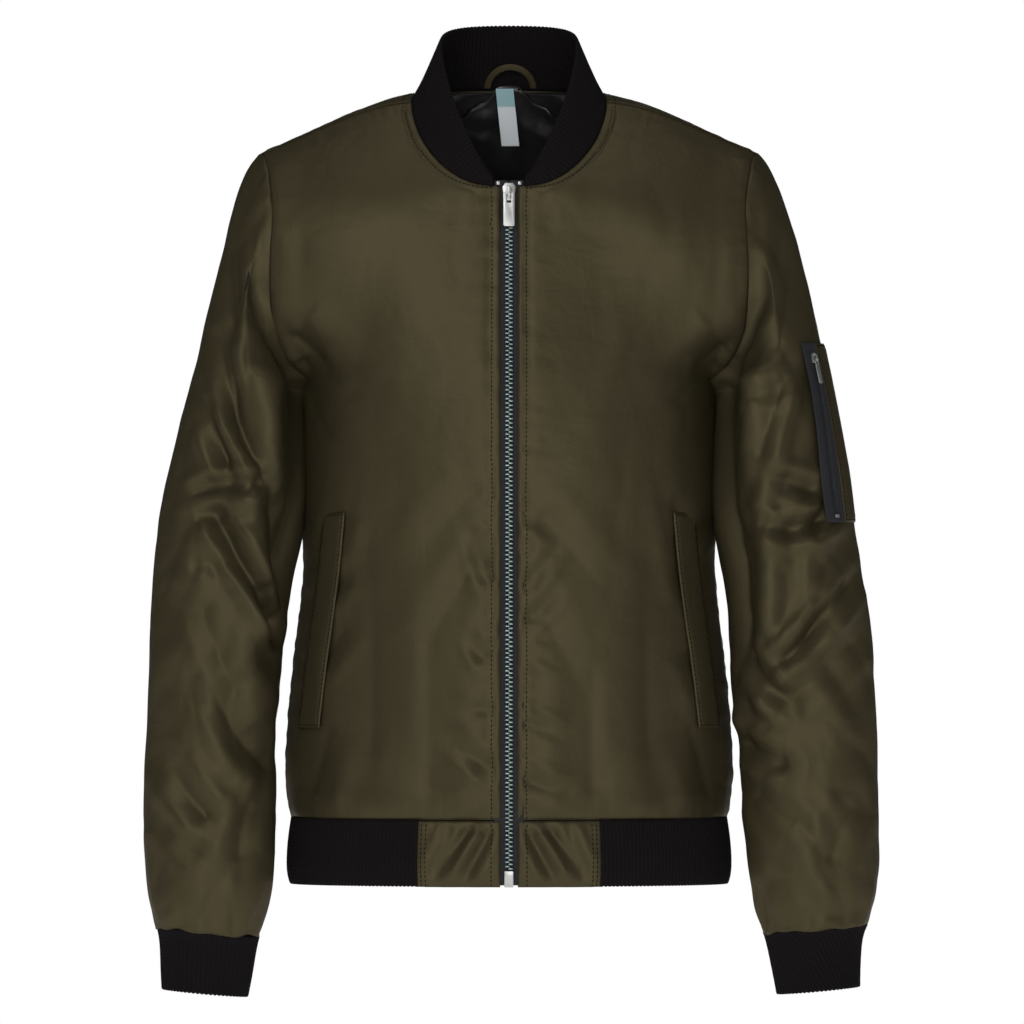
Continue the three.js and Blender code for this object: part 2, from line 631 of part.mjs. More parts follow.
function backMiddle(row) {
  if (row === BACK_TOP_ROW) return neckAt(NECK_SHOULDER_POINT);
  if (row > BACK_NECK_ROW) {
    const share = (row - BACK_NECK_ROW) / (RIDGE_ROW - BACK_NECK_ROW);
    return neckAt(NECK_LAST_POINT + (NECK_RIDGE_POINT - NECK_LAST_POINT) * share);
  }
  const z = middleHeight(row, BACK_RISE, BACK_NECK_ROW, BACK_NECK_Z);
  return new THREE.Vector3(0, centreBack(z).y, z);
}

function sideOf(row, armholeAngle) {
  if (row > UNDERARM_ROW) return armholeAt(armholeAngle);
  const z = HEM_SEAM_Z + (UNDERARM_Z - HEM_SEAM_Z) * LOWER_ROWS[row];
  return new THREE.Vector3(sideSeam(z).x, 0, z);
}

const frontAngle = (row) =>
  180 - ((180 - SHOULDER_SEAM_ANGLE) * (row - UNDERARM_ROW)) / (FRONT_TOP_ROW - UNDERARM_ROW);

const backAngle = (row) =>
  row === BACK_TOP_ROW
    ? 360 + SHOULDER_SEAM_ANGLE
    : 180 + (180 * (row - UNDERARM_ROW)) / (RIDGE_ROW - UNDERARM_ROW);

// Half a row, from the middle to the side, as one smooth sweep
function sweepRow(middle, side, facing, { reach, lean, drop, sideReach, turn, rise }) {
  const leaving = new THREE.Vector3(1, facing * lean, drop);
  const angle = radians(turn);
  const arriving = new THREE.Vector3(-Math.cos(angle), facing * Math.sin(angle), rise);
  const curve = new THREE.CubicBezierCurve3(
    middle,
    middle.clone().addScaledVector(leaving, reach),
    side.clone().addScaledVector(arriving, sideReach),
    side,
  );
  return COLUMN_SHARES.map((share) => curve.getPoint(share));
}

// Presses the folds of a piece into its points, away from its edges
function pressFolds(name, sheet) {
  const mirror = name.endsWith('_right') ? -1 : 1;
  const rim = new Set(edgesOf(sheet).flat());
  sheet.points.forEach((p, i) => {
    if (rim.has(i)) return;
    const out = sheet.normals[i].clone().normalize();
    let depth = 0;
    for (const fold of FOLDS[name]) {
      const start = new THREE.Vector2(fold.x, fold.z);
      const along = new THREE.Vector2(fold.toX, fold.toZ).sub(start);
      const seen = new THREE.Vector2(p.x * mirror, p.z).sub(start);
      const share = clamp(seen.dot(along) / along.lengthSq(), 0, 1);
      const away = seen.addScaledVector(along, -share).length() / fold.width;
      const facing = smoothstep(out.y * fold.side, 0.1, 0.6);
      depth += fold.depth * facing * Math.exp(-2 * away * away);
    }
    p.addScaledVector(out, -depth);
  });
  return measureNormals(sheet);
}

// Body panels
const frontSweep = track(FRONT_SWEEP, 'row');
const backSweep = track(BACK_SWEEP, 'row');
const frontRows = range(FRONT_TOP_ROW + 1).map((row) =>
  sweepRow(frontMiddle(row), sideOf(row, frontAngle(row)), -1, frontSweep(row)),
);
const backHalf = range(BACK_TOP_ROW + 1).map((row) => {
  const facing = row === BACK_TOP_ROW ? -1 : 1;
  return sweepRow(backMiddle(row), sideOf(row, backAngle(row)), facing, backSweep(row));
});

function makeFront(name) {
  const right = name === 'front_right';
  const rows = right ? frontRows.map((row) => row.map(mirrored)) : frontRows;
  const columns = rows[0].length;
  const onZip = (i) => i % columns === 0 && i <= PIT_ROW * columns;
  return pressFolds(name, makeSheet(rows, { flip: right, isFree: (a, b) => onZip(a) && onZip(b) }));
}

// The back is one piece. Up to the neck its rows run from side to side, and
// above that it goes on as two halves, one on each side of the neck.
function makeBack() {
  const fromLeft = backHalf.map((row) => [...row].reverse());
  const toRight = backHalf.map((row) => row.map(mirrored));
  const wide = range(BACK_NECK_ROW + 1).map((r) => [...fromLeft[r], ...toRight[r].slice(1)]);
  const sheet = makeSheet(wide);
  const addHalf = (half, firstColumn) => {
    const width = half[0].length;
    let below = sheet.grid[BACK_NECK_ROW].slice(firstColumn, firstColumn + width);
    for (let r = BACK_NECK_ROW + 1; r <= BACK_TOP_ROW; r += 1) {
      const row = half[r].map((p) => sheet.points.push(p.clone()) - 1);
      for (let c = 0; c < width - 1; c += 1) {
        sheet.faces.push([below[c], below[c + 1], row[c + 1], row[c]]);
      }
      below = row;
    }
  };
  addHalf(fromLeft, 0);
  addHalf(toRight, COLUMN_SHARES.length - 1);
  return pressFolds('back', measureNormals(sheet));
}

// Sleeves: columns run round from the shoulder seam by the front, the underarm
// and the back, on the same points as the armhole
const sleeveAngles = [
  ...range(FRONT_TOP_ROW - UNDERARM_ROW).map((i) => frontAngle(FRONT_TOP_ROW - i)),
  ...range(RIDGE_ROW - UNDERARM_ROW + 1).map((i) => backAngle(UNDERARM_ROW + i)),
];

function ringPoint({ outX, outZ, inX, inZ, middleY, half, seamShape }, angle) {
  const turn = radians(angle);
  const share = (1 - Math.cos(turn)) / 2;
  const [shoulder, underarm] = [armholeX(0).x, armholeX(180).x];
  const bulge = armholeX(angle).x - shoulder - (underarm - shoulder) * share;
  return new THREE.Vector3(
    outX + (inX - outX) * share + seamShape * bulge,
    middleY - half * Math.sin(turn),
    outZ + (inZ - outZ) * share,
  );
}

function makeSleeve(side) {
  const columns = sleeveAngles.map((angle) => {
    const rings = SLEEVE_RINGS[side].map((ring) => ringPoint(ring, angle));
    return new THREE.CatmullRomCurve3([armholeAt(angle), ...rings], false, 'catmullrom', 0.5);
  });
  const right = side === 'right';
  const rows = range(SLEEVE_ROWS + 1).map((r) =>
    columns.map((curve) => {
      const p = curve.getPoint(r / SLEEVE_ROWS);
      return right ? mirrored(p) : p;
    }),
  );
  const sheet = makeSheet(rows, { wraps: true, flip: right });
  for (let r = SLEEVE_ROWS - GATHER_ROWS; r < SLEEVE_ROWS; r += 1) {
    const depth = (GATHER_DEPTH * (r - SLEEVE_ROWS + GATHER_ROWS + 1)) / GATHER_ROWS;
    sheet.grid[r].forEach((i, c) => {
      const out = sheet.normals[i].clone().normalize();
      sheet.points[i].addScaledVector(out, c % 2 ? depth : -depth);
    });
  }
  return pressFolds(`sleeve_${side}`, measureNormals(sheet));
}

function makeCuff(side, sleeve) {
  const right = side === 'right';
  const seam = sleeve.grid.at(-1).map((i) => sleeve.points[i]);
  const rings = CUFF_RINGS[side].map((ring) =>
    sleeveAngles.map((angle) => {
      const p = ringPoint(ring, angle);
      return right ? mirrored(p) : p;
    }),
  );
  const columns = seam.length;
  const isFree = (a) => a >= columns;
  return makeSheet([seam, ...rings], { wraps: true, flip: right, isFree });
}

// The collar's grid starts on the neck seam, from the zip round to the zip
function makeCollar() {
  const front = range(FRONT_TOP_ROW - PIT_ROW + 1).map((i) => frontMiddle(PIT_ROW + i));
  const back = range(BACK_TOP_ROW - BACK_NECK_ROW).map((i) => backMiddle(RIDGE_ROW - i));
  const half = [...front, ...back];
  const lengths = [0];
  for (let i = 1; i < half.length; i += 1) {
    lengths.push(lengths[i - 1] + half[i].distanceTo(half[i - 1]));
  }
  const edge = track(COLLAR_EDGE, 'share');
  const top = lengths.map((length) => point(edge(length / lengths.at(-1))));
  const whole = (row) => [...row, ...[...row].slice(0, -1).reverse().map(mirrored)];
  const [low, high] = [whole(half), whole(top)];
  const rows = COLLAR_ROWS.map((share) => low.map((p, c) => mix(p, high[c], share)));
  const columns = low.length;
  return makeSheet(rows, { isFree: (a, b) => a >= columns || b >= columns });
}

// Hem band: its grid hangs from the bottom edge of the panels
const HEM_ROWS = [1, 0.82, 0.36, 0];

function hemPoint(seamPoint, out, share) {
  const level = new THREE.Vector3(out.x, out.y, 0).normalize();
  const p = seamPoint.clone().addScaledVector(level, hemBulge(share).out);
  p.z -= HEM_DEPTH * share;
  return p;
}

function hemRows(seamPoints) {
  const outs = seamPoints.map((p, c) => {
    const before = seamPoints[Math.max(c - 1, 0)];
    const after = seamPoints[Math.min(c + 1, seamPoints.length - 1)];
    const along = new THREE.Vector3().subVectors(after, before);
    return new THREE.Vector3(along.y, -along.x, 0);
  });
  return HEM_ROWS.map((share) => seamPoints.map((p, c) => hemPoint(p, outs[c], share)));
}

const frontHem = frontRows[0];
const backHem = [...backHalf[0]].reverse();
const hemLine = [
  ...frontHem,
  ...backHem.slice(1),
  ...backHalf[0].slice(1).map(mirrored),
  ...[...frontHem].reverse().slice(1).map(mirrored),
];
const hemGrid = hemRows(hemLine);

function makeHemPart(firstColumn, lastColumn, freeColumn) {
  const rows = hemGrid.map((row) => row.slice(firstColumn, lastColumn + 1));
  const columns = rows[0].length;
  const isFree = (a, b) => {
    const onHemEdge = a < columns && b < columns;
    const onZip = a % columns === freeColumn && b % columns === freeColumn;
    return onHemEdge || onZip;
  };
  return makeSheet(rows, { isFree });
}

const lastHemColumn = hemLine.length - 1;
const cloth = {
  front_left: makeFront('front_left'),
  front_right: makeFront('front_right'),
  back: makeBack(),
  sleeve_left: makeSleeve('left'),
  sleeve_right: makeSleeve('right'),
  hem_tab_left: makeHemPart(0, HEM_TAB_COLUMN, 0),
  hem_tab_right: makeHemPart(lastHemColumn - HEM_TAB_COLUMN, lastHemColumn, HEM_TAB_COLUMN),
};
const ribs = {
  collar: makeCollar(),
  cuff_left: makeCuff('left', cloth.sleeve_left),
  cuff_right: makeCuff('right', cloth.sleeve_right),
  hem_rib: makeHemPart(HEM_TAB_COLUMN, lastHemColumn - HEM_TAB_COLUMN, -1),
};
shareSeamNormals([...Object.values(cloth), ...Object.values(ribs)]);
for (const sheet of [...Object.values(cloth), ...Object.values(ribs)]) leaveSeamGap(sheet);

for (const [name, sheet] of Object.entries(cloth)) {
  addMesh(name, clothWall(sheet, SHELL_WALL, edgesOf(sheet)), 'olive');
}

const collarColumns = ribs.collar.grid[0].length;
const ribbed = {
  collar: { pitch: CUFF_RIB_PITCH, sewnRow: 0, from: COLLAR_START, to: collarColumns - 1 - COLLAR_START },
  cuff_left: { pitch: CUFF_RIB_PITCH, sewnRow: 0 },
  cuff_right: { pitch: CUFF_RIB_PITCH, sewnRow: 0 },
  hem_rib: { pitch: HEM_RIB_PITCH, sewnRow: HEM_ROWS.length - 1 },
};
for (const [name, options] of Object.entries(ribbed)) {
  addMesh(name, ribbedWall(ribs[name], options), 'rib');
}

// Lining inside the back
const backMiddleColumn = COLUMN_SHARES.length - 1;
const liningPlace = (rowShare, columnShare) => ({
  row: LINING.bottomRow + (LINING.topRow - LINING.bottomRow) * rowShare,
  column: backMiddleColumn + LINING.halfColumns * (2 * columnShare - 1),
});
addMesh(
  'lining_back',
  patchOn(
    cloth.back,
    LINING.rows,
    LINING.columns,
    liningPlace,
    -SHELL_WALL - LINING_WALL - LINING.gap,
    LINING_WALL,
  ),
  'lining',
);

// Zip: everything on it is placed along the middle line of the front
const zipLine = [
  ...HEM_ROWS.slice(0, -1).map((share) => {
    const seamPoint = new THREE.Vector3(0, frontHem[0].y, HEM_SEAM_Z);
    return hemPoint(seamPoint, new THREE.Vector3(0, -1, 0), share);
  }),
  ...range(PIT_ROW + 1).map((row) => frontMiddle(row).setX(0)),
];

function onZipLine(z) {
  const last = zipLine.length - 1;
  let i = 0;
  while (i < last - 1 && z > zipLine[i + 1].z) i += 1;
  const [low, high] = [zipLine[i], zipLine[i + 1]];
  const place = mix(low, high, (z - low.z) / (high.z - low.z));
  const up = new THREE.Vector3().subVectors(high, low).normalize();
  return { place, up, out: new THREE.Vector3(0, -up.z, up.y) };
}

// A straight-edged strip along the zip, between two heights and two widths
function zipStrip(fromX, toX, lift, wall, bottomZ, topZ) {
  const heights = zipLine.map((p) => p.z).filter((z) => z > bottomZ + 1 && z < topZ - 1);
  const spots = [bottomZ, ...heights, topZ].map(onZipLine);
  const outs = spots.map(({ out }, i) =>
    out.clone().add(spots[Math.min(i + 1, spots.length - 1)].out).normalize(),
  );
  const at = (distance) =>
    spots.map(({ place }, i) =>
      [fromX, toX].map((x) => place.clone().addScaledVector(outs[i], distance).setX(x)),
    );
  return wallBetween(at(lift), at(lift - wall));
}

const HEM_EDGE_Z = HEM_SEAM_Z - HEM_DEPTH;
const TAPE_LIFT = -SHELL_WALL - SEAM_GAP;
const CHAIN_TOP_Z = SLIDER.z - SLIDER.length / 2 - SEAM_GAP;
const BOX_TOP_Z = HEM_EDGE_Z + ZIP_BOX.height;
for (const [side, way] of [['left', 1], ['right', -1]]) {
  const edges = [way * TAPE_FROM, way * TAPE_WIDTH];
  const tape = zipStrip(...edges, TAPE_LIFT, TAPE_WALL, HEM_EDGE_Z + 1, TAPE_TOP_Z);
  addMesh(`zip_tape_${side}`, tape, 'tape');
}
const chainEdge = CHAIN_WIDTH / 2;
addMesh(
  'zip_chain',
  zipStrip(-chainEdge, chainEdge, CHAIN_PROUD, CHAIN_THICKNESS, BOX_TOP_Z + SEAM_GAP, CHAIN_TOP_Z),
  'teeth',
);
const { left: boxLeft, right: boxRight, proud, thickness: boxThickness } = ZIP_BOX;
addMesh(
  'zip_box',
  zipStrip(boxLeft, boxRight, proud, boxThickness, HEM_EDGE_Z + ZIP_BOX.bottom, BOX_TOP_Z),
  'silver',
);

// Hard zip pieces, drawn in their own frame: X across, Z up and -Y outwards
function placeOn(mesh, { place, up, out }) {
  const across = new THREE.Vector3().crossVectors(up, out);
  const turned = new THREE.Matrix4().makeBasis(across, out.clone().negate(), up);
  mesh.quaternion.setFromRotationMatrix(turned);
  mesh.position.copy(place);
  return mesh;
}

function plate(shape, frontOut, thickness) {
  return new THREE.ExtrudeGeometry(shape, { depth: thickness, bevelEnabled: false, curveSegments: 4 })
    .rotateX(Math.PI / 2)
    .translate(0, thickness - frontOut, 0);
}

function outline(corners) {
  return new THREE.Shape(corners.map(([x, z]) => new THREE.Vector2(x, z)));
}

function joined(first, second) {
  const [a, b] = [first, second].map((geometry) => {
    const bare = geometry.clone();
    bare.deleteAttribute('normal');
    bare.deleteAttribute('uv');
    const tight = mergeVertices(bare);
    return new wasm.Manifold(
      new wasm.Mesh({
        numProp: 3,
        vertProperties: Float32Array.from(tight.attributes.position.array),
        triVerts: Uint32Array.from(tight.index.array),
      }),
    );
  });
  const { vertProperties, triVerts } = a.add(b).getMesh();
  const geometry = new THREE.BufferGeometry();
  geometry.setAttribute('position', new THREE.BufferAttribute(vertProperties, 3));
  geometry.setIndex(new THREE.BufferAttribute(triVerts, 1));
  geometry.computeVertexNormals();
  return geometry;
}

// A slider is a tapered block with a small arch on its face. The pull's top bar
// turns inside the arch.
const ARCH = {
  halfWidth: 1,
  root: -0.5,
  shoulderOut: 2.5,
  out: 3.9,
  crown: 2.6,
  top: 4.4,
  bottom: -4.6,
  holeFrom: 0.02,
  holeOut: 2.7,
  holeTop: 3,
  holeBottom: -3.3,
};
const PIVOT = { out: 1.35, up: -1.8 };
const PULL_PLATE = { bar: 0.7, thickness: 1.4, corner: 1, topCorner: 0.6, slotLength: 6.7, play: 0.7 };

function sliderBlock({ width, foot, length, thickness, scale }) {
  const [half, halfFoot, halfLength] = [width / 2, foot / 2, length / 2];
  const shoulder = halfLength * 0.55;
  const block = plate(
    outline([
      [-halfFoot, -halfLength],
      [halfFoot, -halfLength],
      [half, shoulder],
      [half * 0.6, halfLength],
      [-half * 0.6, halfLength],
      [-half, shoulder],
    ]),
    0,
    thickness,
  );
  const arch = outline([
    [ARCH.root, ARCH.bottom],
    [ARCH.shoulderOut, ARCH.bottom],
    [ARCH.out, -ARCH.crown],
    [ARCH.out, ARCH.crown],
    [ARCH.shoulderOut, ARCH.top],
    [ARCH.root, ARCH.top],
  ]);
  const hole = new THREE.Path(
    [
      [ARCH.holeFrom, ARCH.holeBottom],
      [ARCH.holeFrom, ARCH.holeTop],
      [ARCH.holeOut, ARCH.holeTop],
      [ARCH.holeOut, ARCH.holeBottom],
    ].map(([x, z]) => new THREE.Vector2(x, z)),
  );
  arch.holes.push(hole);
  const loop = new THREE.ExtrudeGeometry(arch, { depth: 2 * ARCH.halfWidth, bevelEnabled: false });
  const outwards = new THREE.Vector3(0, -1, 0);
  const upwards = new THREE.Vector3(0, 0, 1);
  const sideways = new THREE.Vector3(-1, 0, 0);
  loop.applyMatrix4(new THREE.Matrix4().makeBasis(outwards, upwards, sideways));
  loop.translate(ARCH.halfWidth, 0, 0);
  return joined(block, loop).scale(scale, scale, scale);
}

function pullPlate({ width, length }, scale) {
  const half = width / 2;
  const { bar, thickness, corner, topCorner, slotLength, play } = PULL_PLATE;
  const tip = bar - length;
  const shape = outline([
    [-half, tip + corner],
    [-half + corner, tip],
    [half - corner, tip],
    [half, tip + corner],
    [half, bar - corner],
    [half - topCorner, bar],
    [-half + topCorner, bar],
    [-half, bar - corner],
  ]);
  const slotHalf = ARCH.halfWidth + play;
  const slot = [
    [-slotHalf, -bar - slotLength],
    [-slotHalf, -bar],
    [slotHalf, -bar],
    [slotHalf, -bar - slotLength],
  ];
  shape.holes.push(new THREE.Path(slot.map(([x, z]) => new THREE.Vector2(x, z))));
  return plate(shape, thickness / 2, thickness).scale(scale, scale, scale);
}

function addSlider(names, spot, lift, slider, pull) {
  const { scale } = slider;
  const face = { ...spot, place: spot.place.clone().addScaledVector(spot.out, lift) };
  placeOn(addMesh(names.slider, sliderBlock(slider), 'silver'), face);
  const pivot = face.place
    .clone()
    .addScaledVector(spot.out, PIVOT.out * scale)
    .addScaledVector(spot.up, PIVOT.up * scale);
  const drawn = { width: pull.width / scale, length: pull.length / scale };
  placeOn(addMesh(names.pull, pullPlate(drawn, scale), 'silver'), { ...spot, place: pivot });
}

const zipNames = { slider: 'zip_slider', pull: 'zip_pull' };
addSlider(zipNames, onZipLine(SLIDER.z), SLIDER.lift, SLIDER, PULL);

// Top stops, clamped on the tapes just above the collar's ends
for (const [side, way] of [['left', 1], ['right', -1]]) {
  const { place, up, out } = onZipLine(STOP.z);
  place.addScaledVector(out, TAPE_LIFT + SEAM_GAP + STOP.thickness / 2).setX(way * STOP.x);
  const block = new THREE.BoxGeometry(STOP.width, STOP.thickness, STOP.height);
  placeOn(addMesh(`zip_stop_${side}`, block, 'silver'), { place, up, out });
}

// Finds the row and column of a front panel's grid at a place seen from the
// front, in small steps from a start near the side pocket
function frontCell(x, z) {
  let [row, column] = [5, 7];
  const sheet = cloth.front_left;
  const [tries, stride, care] = [30, 0.5, 0.8];
  for (let turn = 0; turn < tries; turn += 1) {
    const here = readSheet(sheet, row, column).place;
    const up = (readSheet(sheet, row + stride, column).place.z - here.z) / stride;
    const across = (readSheet(sheet, row, column + stride).place.x - here.x) / stride;
    row += (care * (z - here.z)) / up;
    column += (care * (x - here.x)) / across;
  }
  return { row, column };
}

const weltTop = frontCell(WELT.topX, WELT.topZ);
const weltBottom = frontCell(WELT.bottomX, WELT.bottomZ);
function weltPlace(rowShare, columnShare) {
  const row = weltBottom.row + (weltTop.row - weltBottom.row) * rowShare;
  const start = weltBottom.column + (weltTop.column - weltBottom.column) * rowShare;
  const here = readSheet(cloth.front_left, row, start).place;
  const next = readSheet(cloth.front_left, row, start + 1).place;
  return { row, column: start + (columnShare * WELT.width) / here.distanceTo(next) };
}
for (const side of ['left', 'right']) {
  const welt = patchOn(cloth[`front_${side}`], 6, 3, weltPlace, WELT_LIFT, WELT.wall);
  addMesh(`pocket_welt_${side}`, welt, 'olive');
}

// Sleeve pocket: a patch with its zip along the front edge
const arm = cloth.sleeve_left;
const backAngleStep = 180 / (RIDGE_ROW - UNDERARM_ROW);
const frontAngleStep = (180 - SHOULDER_SEAM_ANGLE) / (FRONT_TOP_ROW - UNDERARM_ROW);

// The column at an angle. Column 0 is the shoulder seam, and -1 the top line.
function armColumn(angle) {
  if (angle < 0) return angle / backAngleStep - 1;
  const pastSeam = angle - SHOULDER_SEAM_ANGLE;
  return pastSeam / (pastSeam < 0 ? SHOULDER_SEAM_ANGLE : frontAngleStep);
}

function armRow(column, z) {
  let [low, high] = [1, SLEEVE_ROWS - 1];
  while (high - low > 0.001) {
    const middle = (low + high) / 2;
    if (readSheet(arm, middle, column).place.z > z) low = middle;
    else high = middle;
  }
  return low;
}

function armPlace(fromAngle, toAngle, fromZ, toZ) {
  return (rowShare, columnShare) => {
    const column = armColumn(fromAngle + (toAngle - fromAngle) * columnShare);
    return { row: armRow(column, fromZ + (toZ - fromZ) * rowShare), column };
  };
}

const { topZ, bottomZ, tapeFrom, tapeTo, patchFrom, patchTo, lift: pocketLift } = SLEEVE_POCKET;
const patchPlace = armPlace(patchFrom, patchTo, bottomZ, topZ);
const patch = patchOn(arm, 10, 6, patchPlace, pocketLift, SLEEVE_POCKET.wall);
addMesh('sleeve_pocket', patch, 'olive');
const tapePlace = armPlace(tapeFrom, tapeTo, bottomZ, topZ);
addMesh('pocket_tape', patchOn(arm, 8, 2, tapePlace, pocketLift, TAPE_WALL), 'tape');

const chainAngle = (tapeFrom + tapeTo) / 2;
const pocketSliderZ = topZ - POCKET_SLIDER.fromTop;
const tapeFace = pocketLift + TAPE_WALL + SEAM_GAP;
const chainPlace = armPlace(
  chainAngle + POCKET_CHAIN.halfAngle,
  chainAngle - POCKET_CHAIN.halfAngle,
  bottomZ + POCKET_CHAIN.bottomAbovePocket,
  pocketSliderZ - POCKET_CHAIN.topBelowSlider,
);
const chain = patchOn(arm, 8, 2, chainPlace, tapeFace + SEAM_GAP, POCKET_CHAIN.wall);
addMesh('pocket_chain', chain, 'teeth');

// A place on the middle line of the sleeve pocket's zip
function armSpot(z) {
  const column = armColumn(chainAngle);
  const { place, out } = readSheet(arm, armRow(column, z), column);
  const above = readSheet(arm, armRow(column, z + POCKET_SLIDER.fromTop), column).place;
  const up = new THREE.Vector3().subVectors(above, place);
  up.addScaledVector(out, -up.dot(out)).normalize();
  return { place, up, out };
}

const pocketNames = { slider: 'pocket_slider', pull: 'pocket_pull' };
const pocketSliderLift = tapeFace + POCKET_SLIDER.thickness * POCKET_SLIDER.scale;
addSlider(pocketNames, armSpot(pocketSliderZ), pocketSliderLift, POCKET_SLIDER, POCKET_PULL);
const stopSpot = armSpot(bottomZ + POCKET_STOP.fromBottom);
stopSpot.place.addScaledVector(stopSpot.out, tapeFace + POCKET_STOP.thickness / 2);
const stopBlock = new THREE.BoxGeometry(
  POCKET_STOP.width,
  POCKET_STOP.thickness,
  POCKET_STOP.height,
);
placeOn(addMesh('pocket_stop', stopBlock, 'silver'), stopSpot);

// Hanger loop inside the back of the neck
const collarBack = backMiddle(BACK_NECK_ROW);
const collarTop = point(COLLAR_EDGE.at(-1));
const collarUp = new THREE.Vector3().subVectors(collarTop, collarBack).normalize();
const collarIn = new THREE.Vector3(0, -collarUp.z, collarUp.y);

function insideCollar(x, height, distance) {
  return collarBack
    .clone()
    .addScaledVector(collarUp, height)
    .addScaledVector(collarIn, RIB_WALL + distance)
    .setX(x);
}

function loopRows(extra) {
  return range(LOOP_STEPS + 1).map((i) => {
    const turn = (Math.PI * i) / LOOP_STEPS;
    const [sine, cosine] = [Math.sin(turn), Math.cos(turn)];
    return [-LOOP.width / 2, LOOP.width / 2].map((offset) => {
      const x = LOOP.middleX - (LOOP.half + offset) * cosine;
      const height = LOOP.foot + (LOOP.height + offset) * sine;
      return insideCollar(x, height, LOOP.seat + LOOP.bow * sine + extra);
    });
  });
}
addMesh('hanger_loop', wallBetween(loopRows(LOOP.thickness), loopRows(0)), 'olive');

// Blank label, hanging beside the loop
function labelRows(extra) {
  return range(LABEL_STEPS + 1).map((i) => {
    const share = i / LABEL_STEPS;
    const x = LABEL.x + Math.sin(radians(LABEL.lean)) * LABEL.length * share;
    const y = LABEL.y - LABEL.bow * Math.sin(Math.PI * share) + extra;
    const z = LABEL.top - LABEL.length * share;
    return [-LABEL.width / 2, LABEL.width / 2].map((offset) => new THREE.Vector3(x + offset, y, z));
  });
}
addMesh('neck_label', wallBetween(labelRows(0), labelRows(LABEL.wall)), 'label');

export default jacket;
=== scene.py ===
import json
import math

import bmesh
import bpy
import numpy as np
from bpy.props import FloatProperty, FloatVectorProperty, PointerProperty
from mathutils import Matrix, Vector, noise
from mathutils.bvhtree import BVHTree
from mathutils.kdtree import KDTree

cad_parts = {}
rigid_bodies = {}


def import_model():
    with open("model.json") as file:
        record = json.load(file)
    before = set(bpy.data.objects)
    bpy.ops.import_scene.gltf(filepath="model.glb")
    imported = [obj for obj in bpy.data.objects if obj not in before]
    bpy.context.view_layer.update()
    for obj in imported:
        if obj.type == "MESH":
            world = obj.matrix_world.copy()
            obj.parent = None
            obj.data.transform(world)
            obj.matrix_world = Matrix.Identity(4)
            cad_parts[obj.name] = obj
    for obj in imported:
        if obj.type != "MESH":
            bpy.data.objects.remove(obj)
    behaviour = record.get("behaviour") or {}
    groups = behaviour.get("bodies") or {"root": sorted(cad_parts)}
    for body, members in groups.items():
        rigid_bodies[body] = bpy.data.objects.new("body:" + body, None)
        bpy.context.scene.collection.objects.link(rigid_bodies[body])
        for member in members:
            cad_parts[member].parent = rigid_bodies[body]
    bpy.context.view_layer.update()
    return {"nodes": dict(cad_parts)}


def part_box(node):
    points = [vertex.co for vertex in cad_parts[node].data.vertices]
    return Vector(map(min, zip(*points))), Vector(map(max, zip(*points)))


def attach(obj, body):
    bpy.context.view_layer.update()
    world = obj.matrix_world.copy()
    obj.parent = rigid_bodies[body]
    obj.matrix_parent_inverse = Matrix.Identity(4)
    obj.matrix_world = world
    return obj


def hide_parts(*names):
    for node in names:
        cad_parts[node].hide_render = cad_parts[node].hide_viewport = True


bl_info = {
    "name": "Bomber jacket",
    "version": (1, 0, 0),
    "blender": (4, 5, 0),
    "location": "3D View > Sidebar > Jacket",
    "description": "Dresses a bomber jacket in nylon, rib knit, zips and stitching",
    "category": "Object",
}

for leftover in list(bpy.data.objects):
    bpy.data.objects.remove(leftover)
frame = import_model()

MM = 0.001
MERGE_DISTANCE = 0.01 * MM
SHARP_EDGE = math.radians(50)
CAD_WALL = 2 * MM
PATCH_WALL = 1.1 * MM
TAPE_WALL = 0.9 * MM
LINING_WALL = 0.8 * MM
SIDES = {"left": 1, "right": -1}

# Heights of seams in the CAD part, in millimetres
HEM_SEAM = -562
CUFF_SEAMS = {"left": -650, "right": -653}

# The last row of the back where its two halves meet, below the neck
BACK_OPEN_ROW = 14

# Grids of the finished cloth, kept for the stitching that follows their edges
grids = {}


# Sizes and colours that a user may change
class JacketShell(bpy.types.PropertyGroup):
    colour: FloatVectorProperty(
        name="Olive", description="Colour of the nylon", subtype="COLOR", size=3,
        default=(0.067, 0.0555, 0.0295),
    )
    wall: FloatProperty(
        name="Thickness", description="Thickness of the padded shell", unit="LENGTH", default=1.9 * MM
    )
    cell: FloatProperty(
        name="Cell", description="Side of a face on the shell", unit="LENGTH", default=2.5 * MM
    )
    fold_strength: FloatProperty(
        name="Folds", description="How deep the folds are pressed", default=1.8
    )
    crumple: FloatProperty(
        name="Crumple", description="Height of the small wrinkles", unit="LENGTH", default=1.1 * MM
    )


class JacketRibs(bpy.types.PropertyGroup):
    colour: FloatVectorProperty(
        name="Black", description="Colour of the rib knit", subtype="COLOR", size=3,
        default=(0.0062, 0.0048, 0.0054),
    )
    hem_pitch: FloatProperty(
        name="Hem rib", description="Width of one rib of the hem band", unit="LENGTH", default=3.25 * MM
    )
    cuff_pitch: FloatProperty(
        name="Cuff rib", description="Width of one rib of the cuffs and collar", unit="LENGTH",
        default=3.6 * MM,
    )
    depth: FloatProperty(
        name="Depth", description="Depth of the furrow between two ribs", unit="LENGTH", default=0.95 * MM
    )
    wall: FloatProperty(
        name="Thickness", description="Thickness of the doubled knit", unit="LENGTH", default=3 * MM
    )


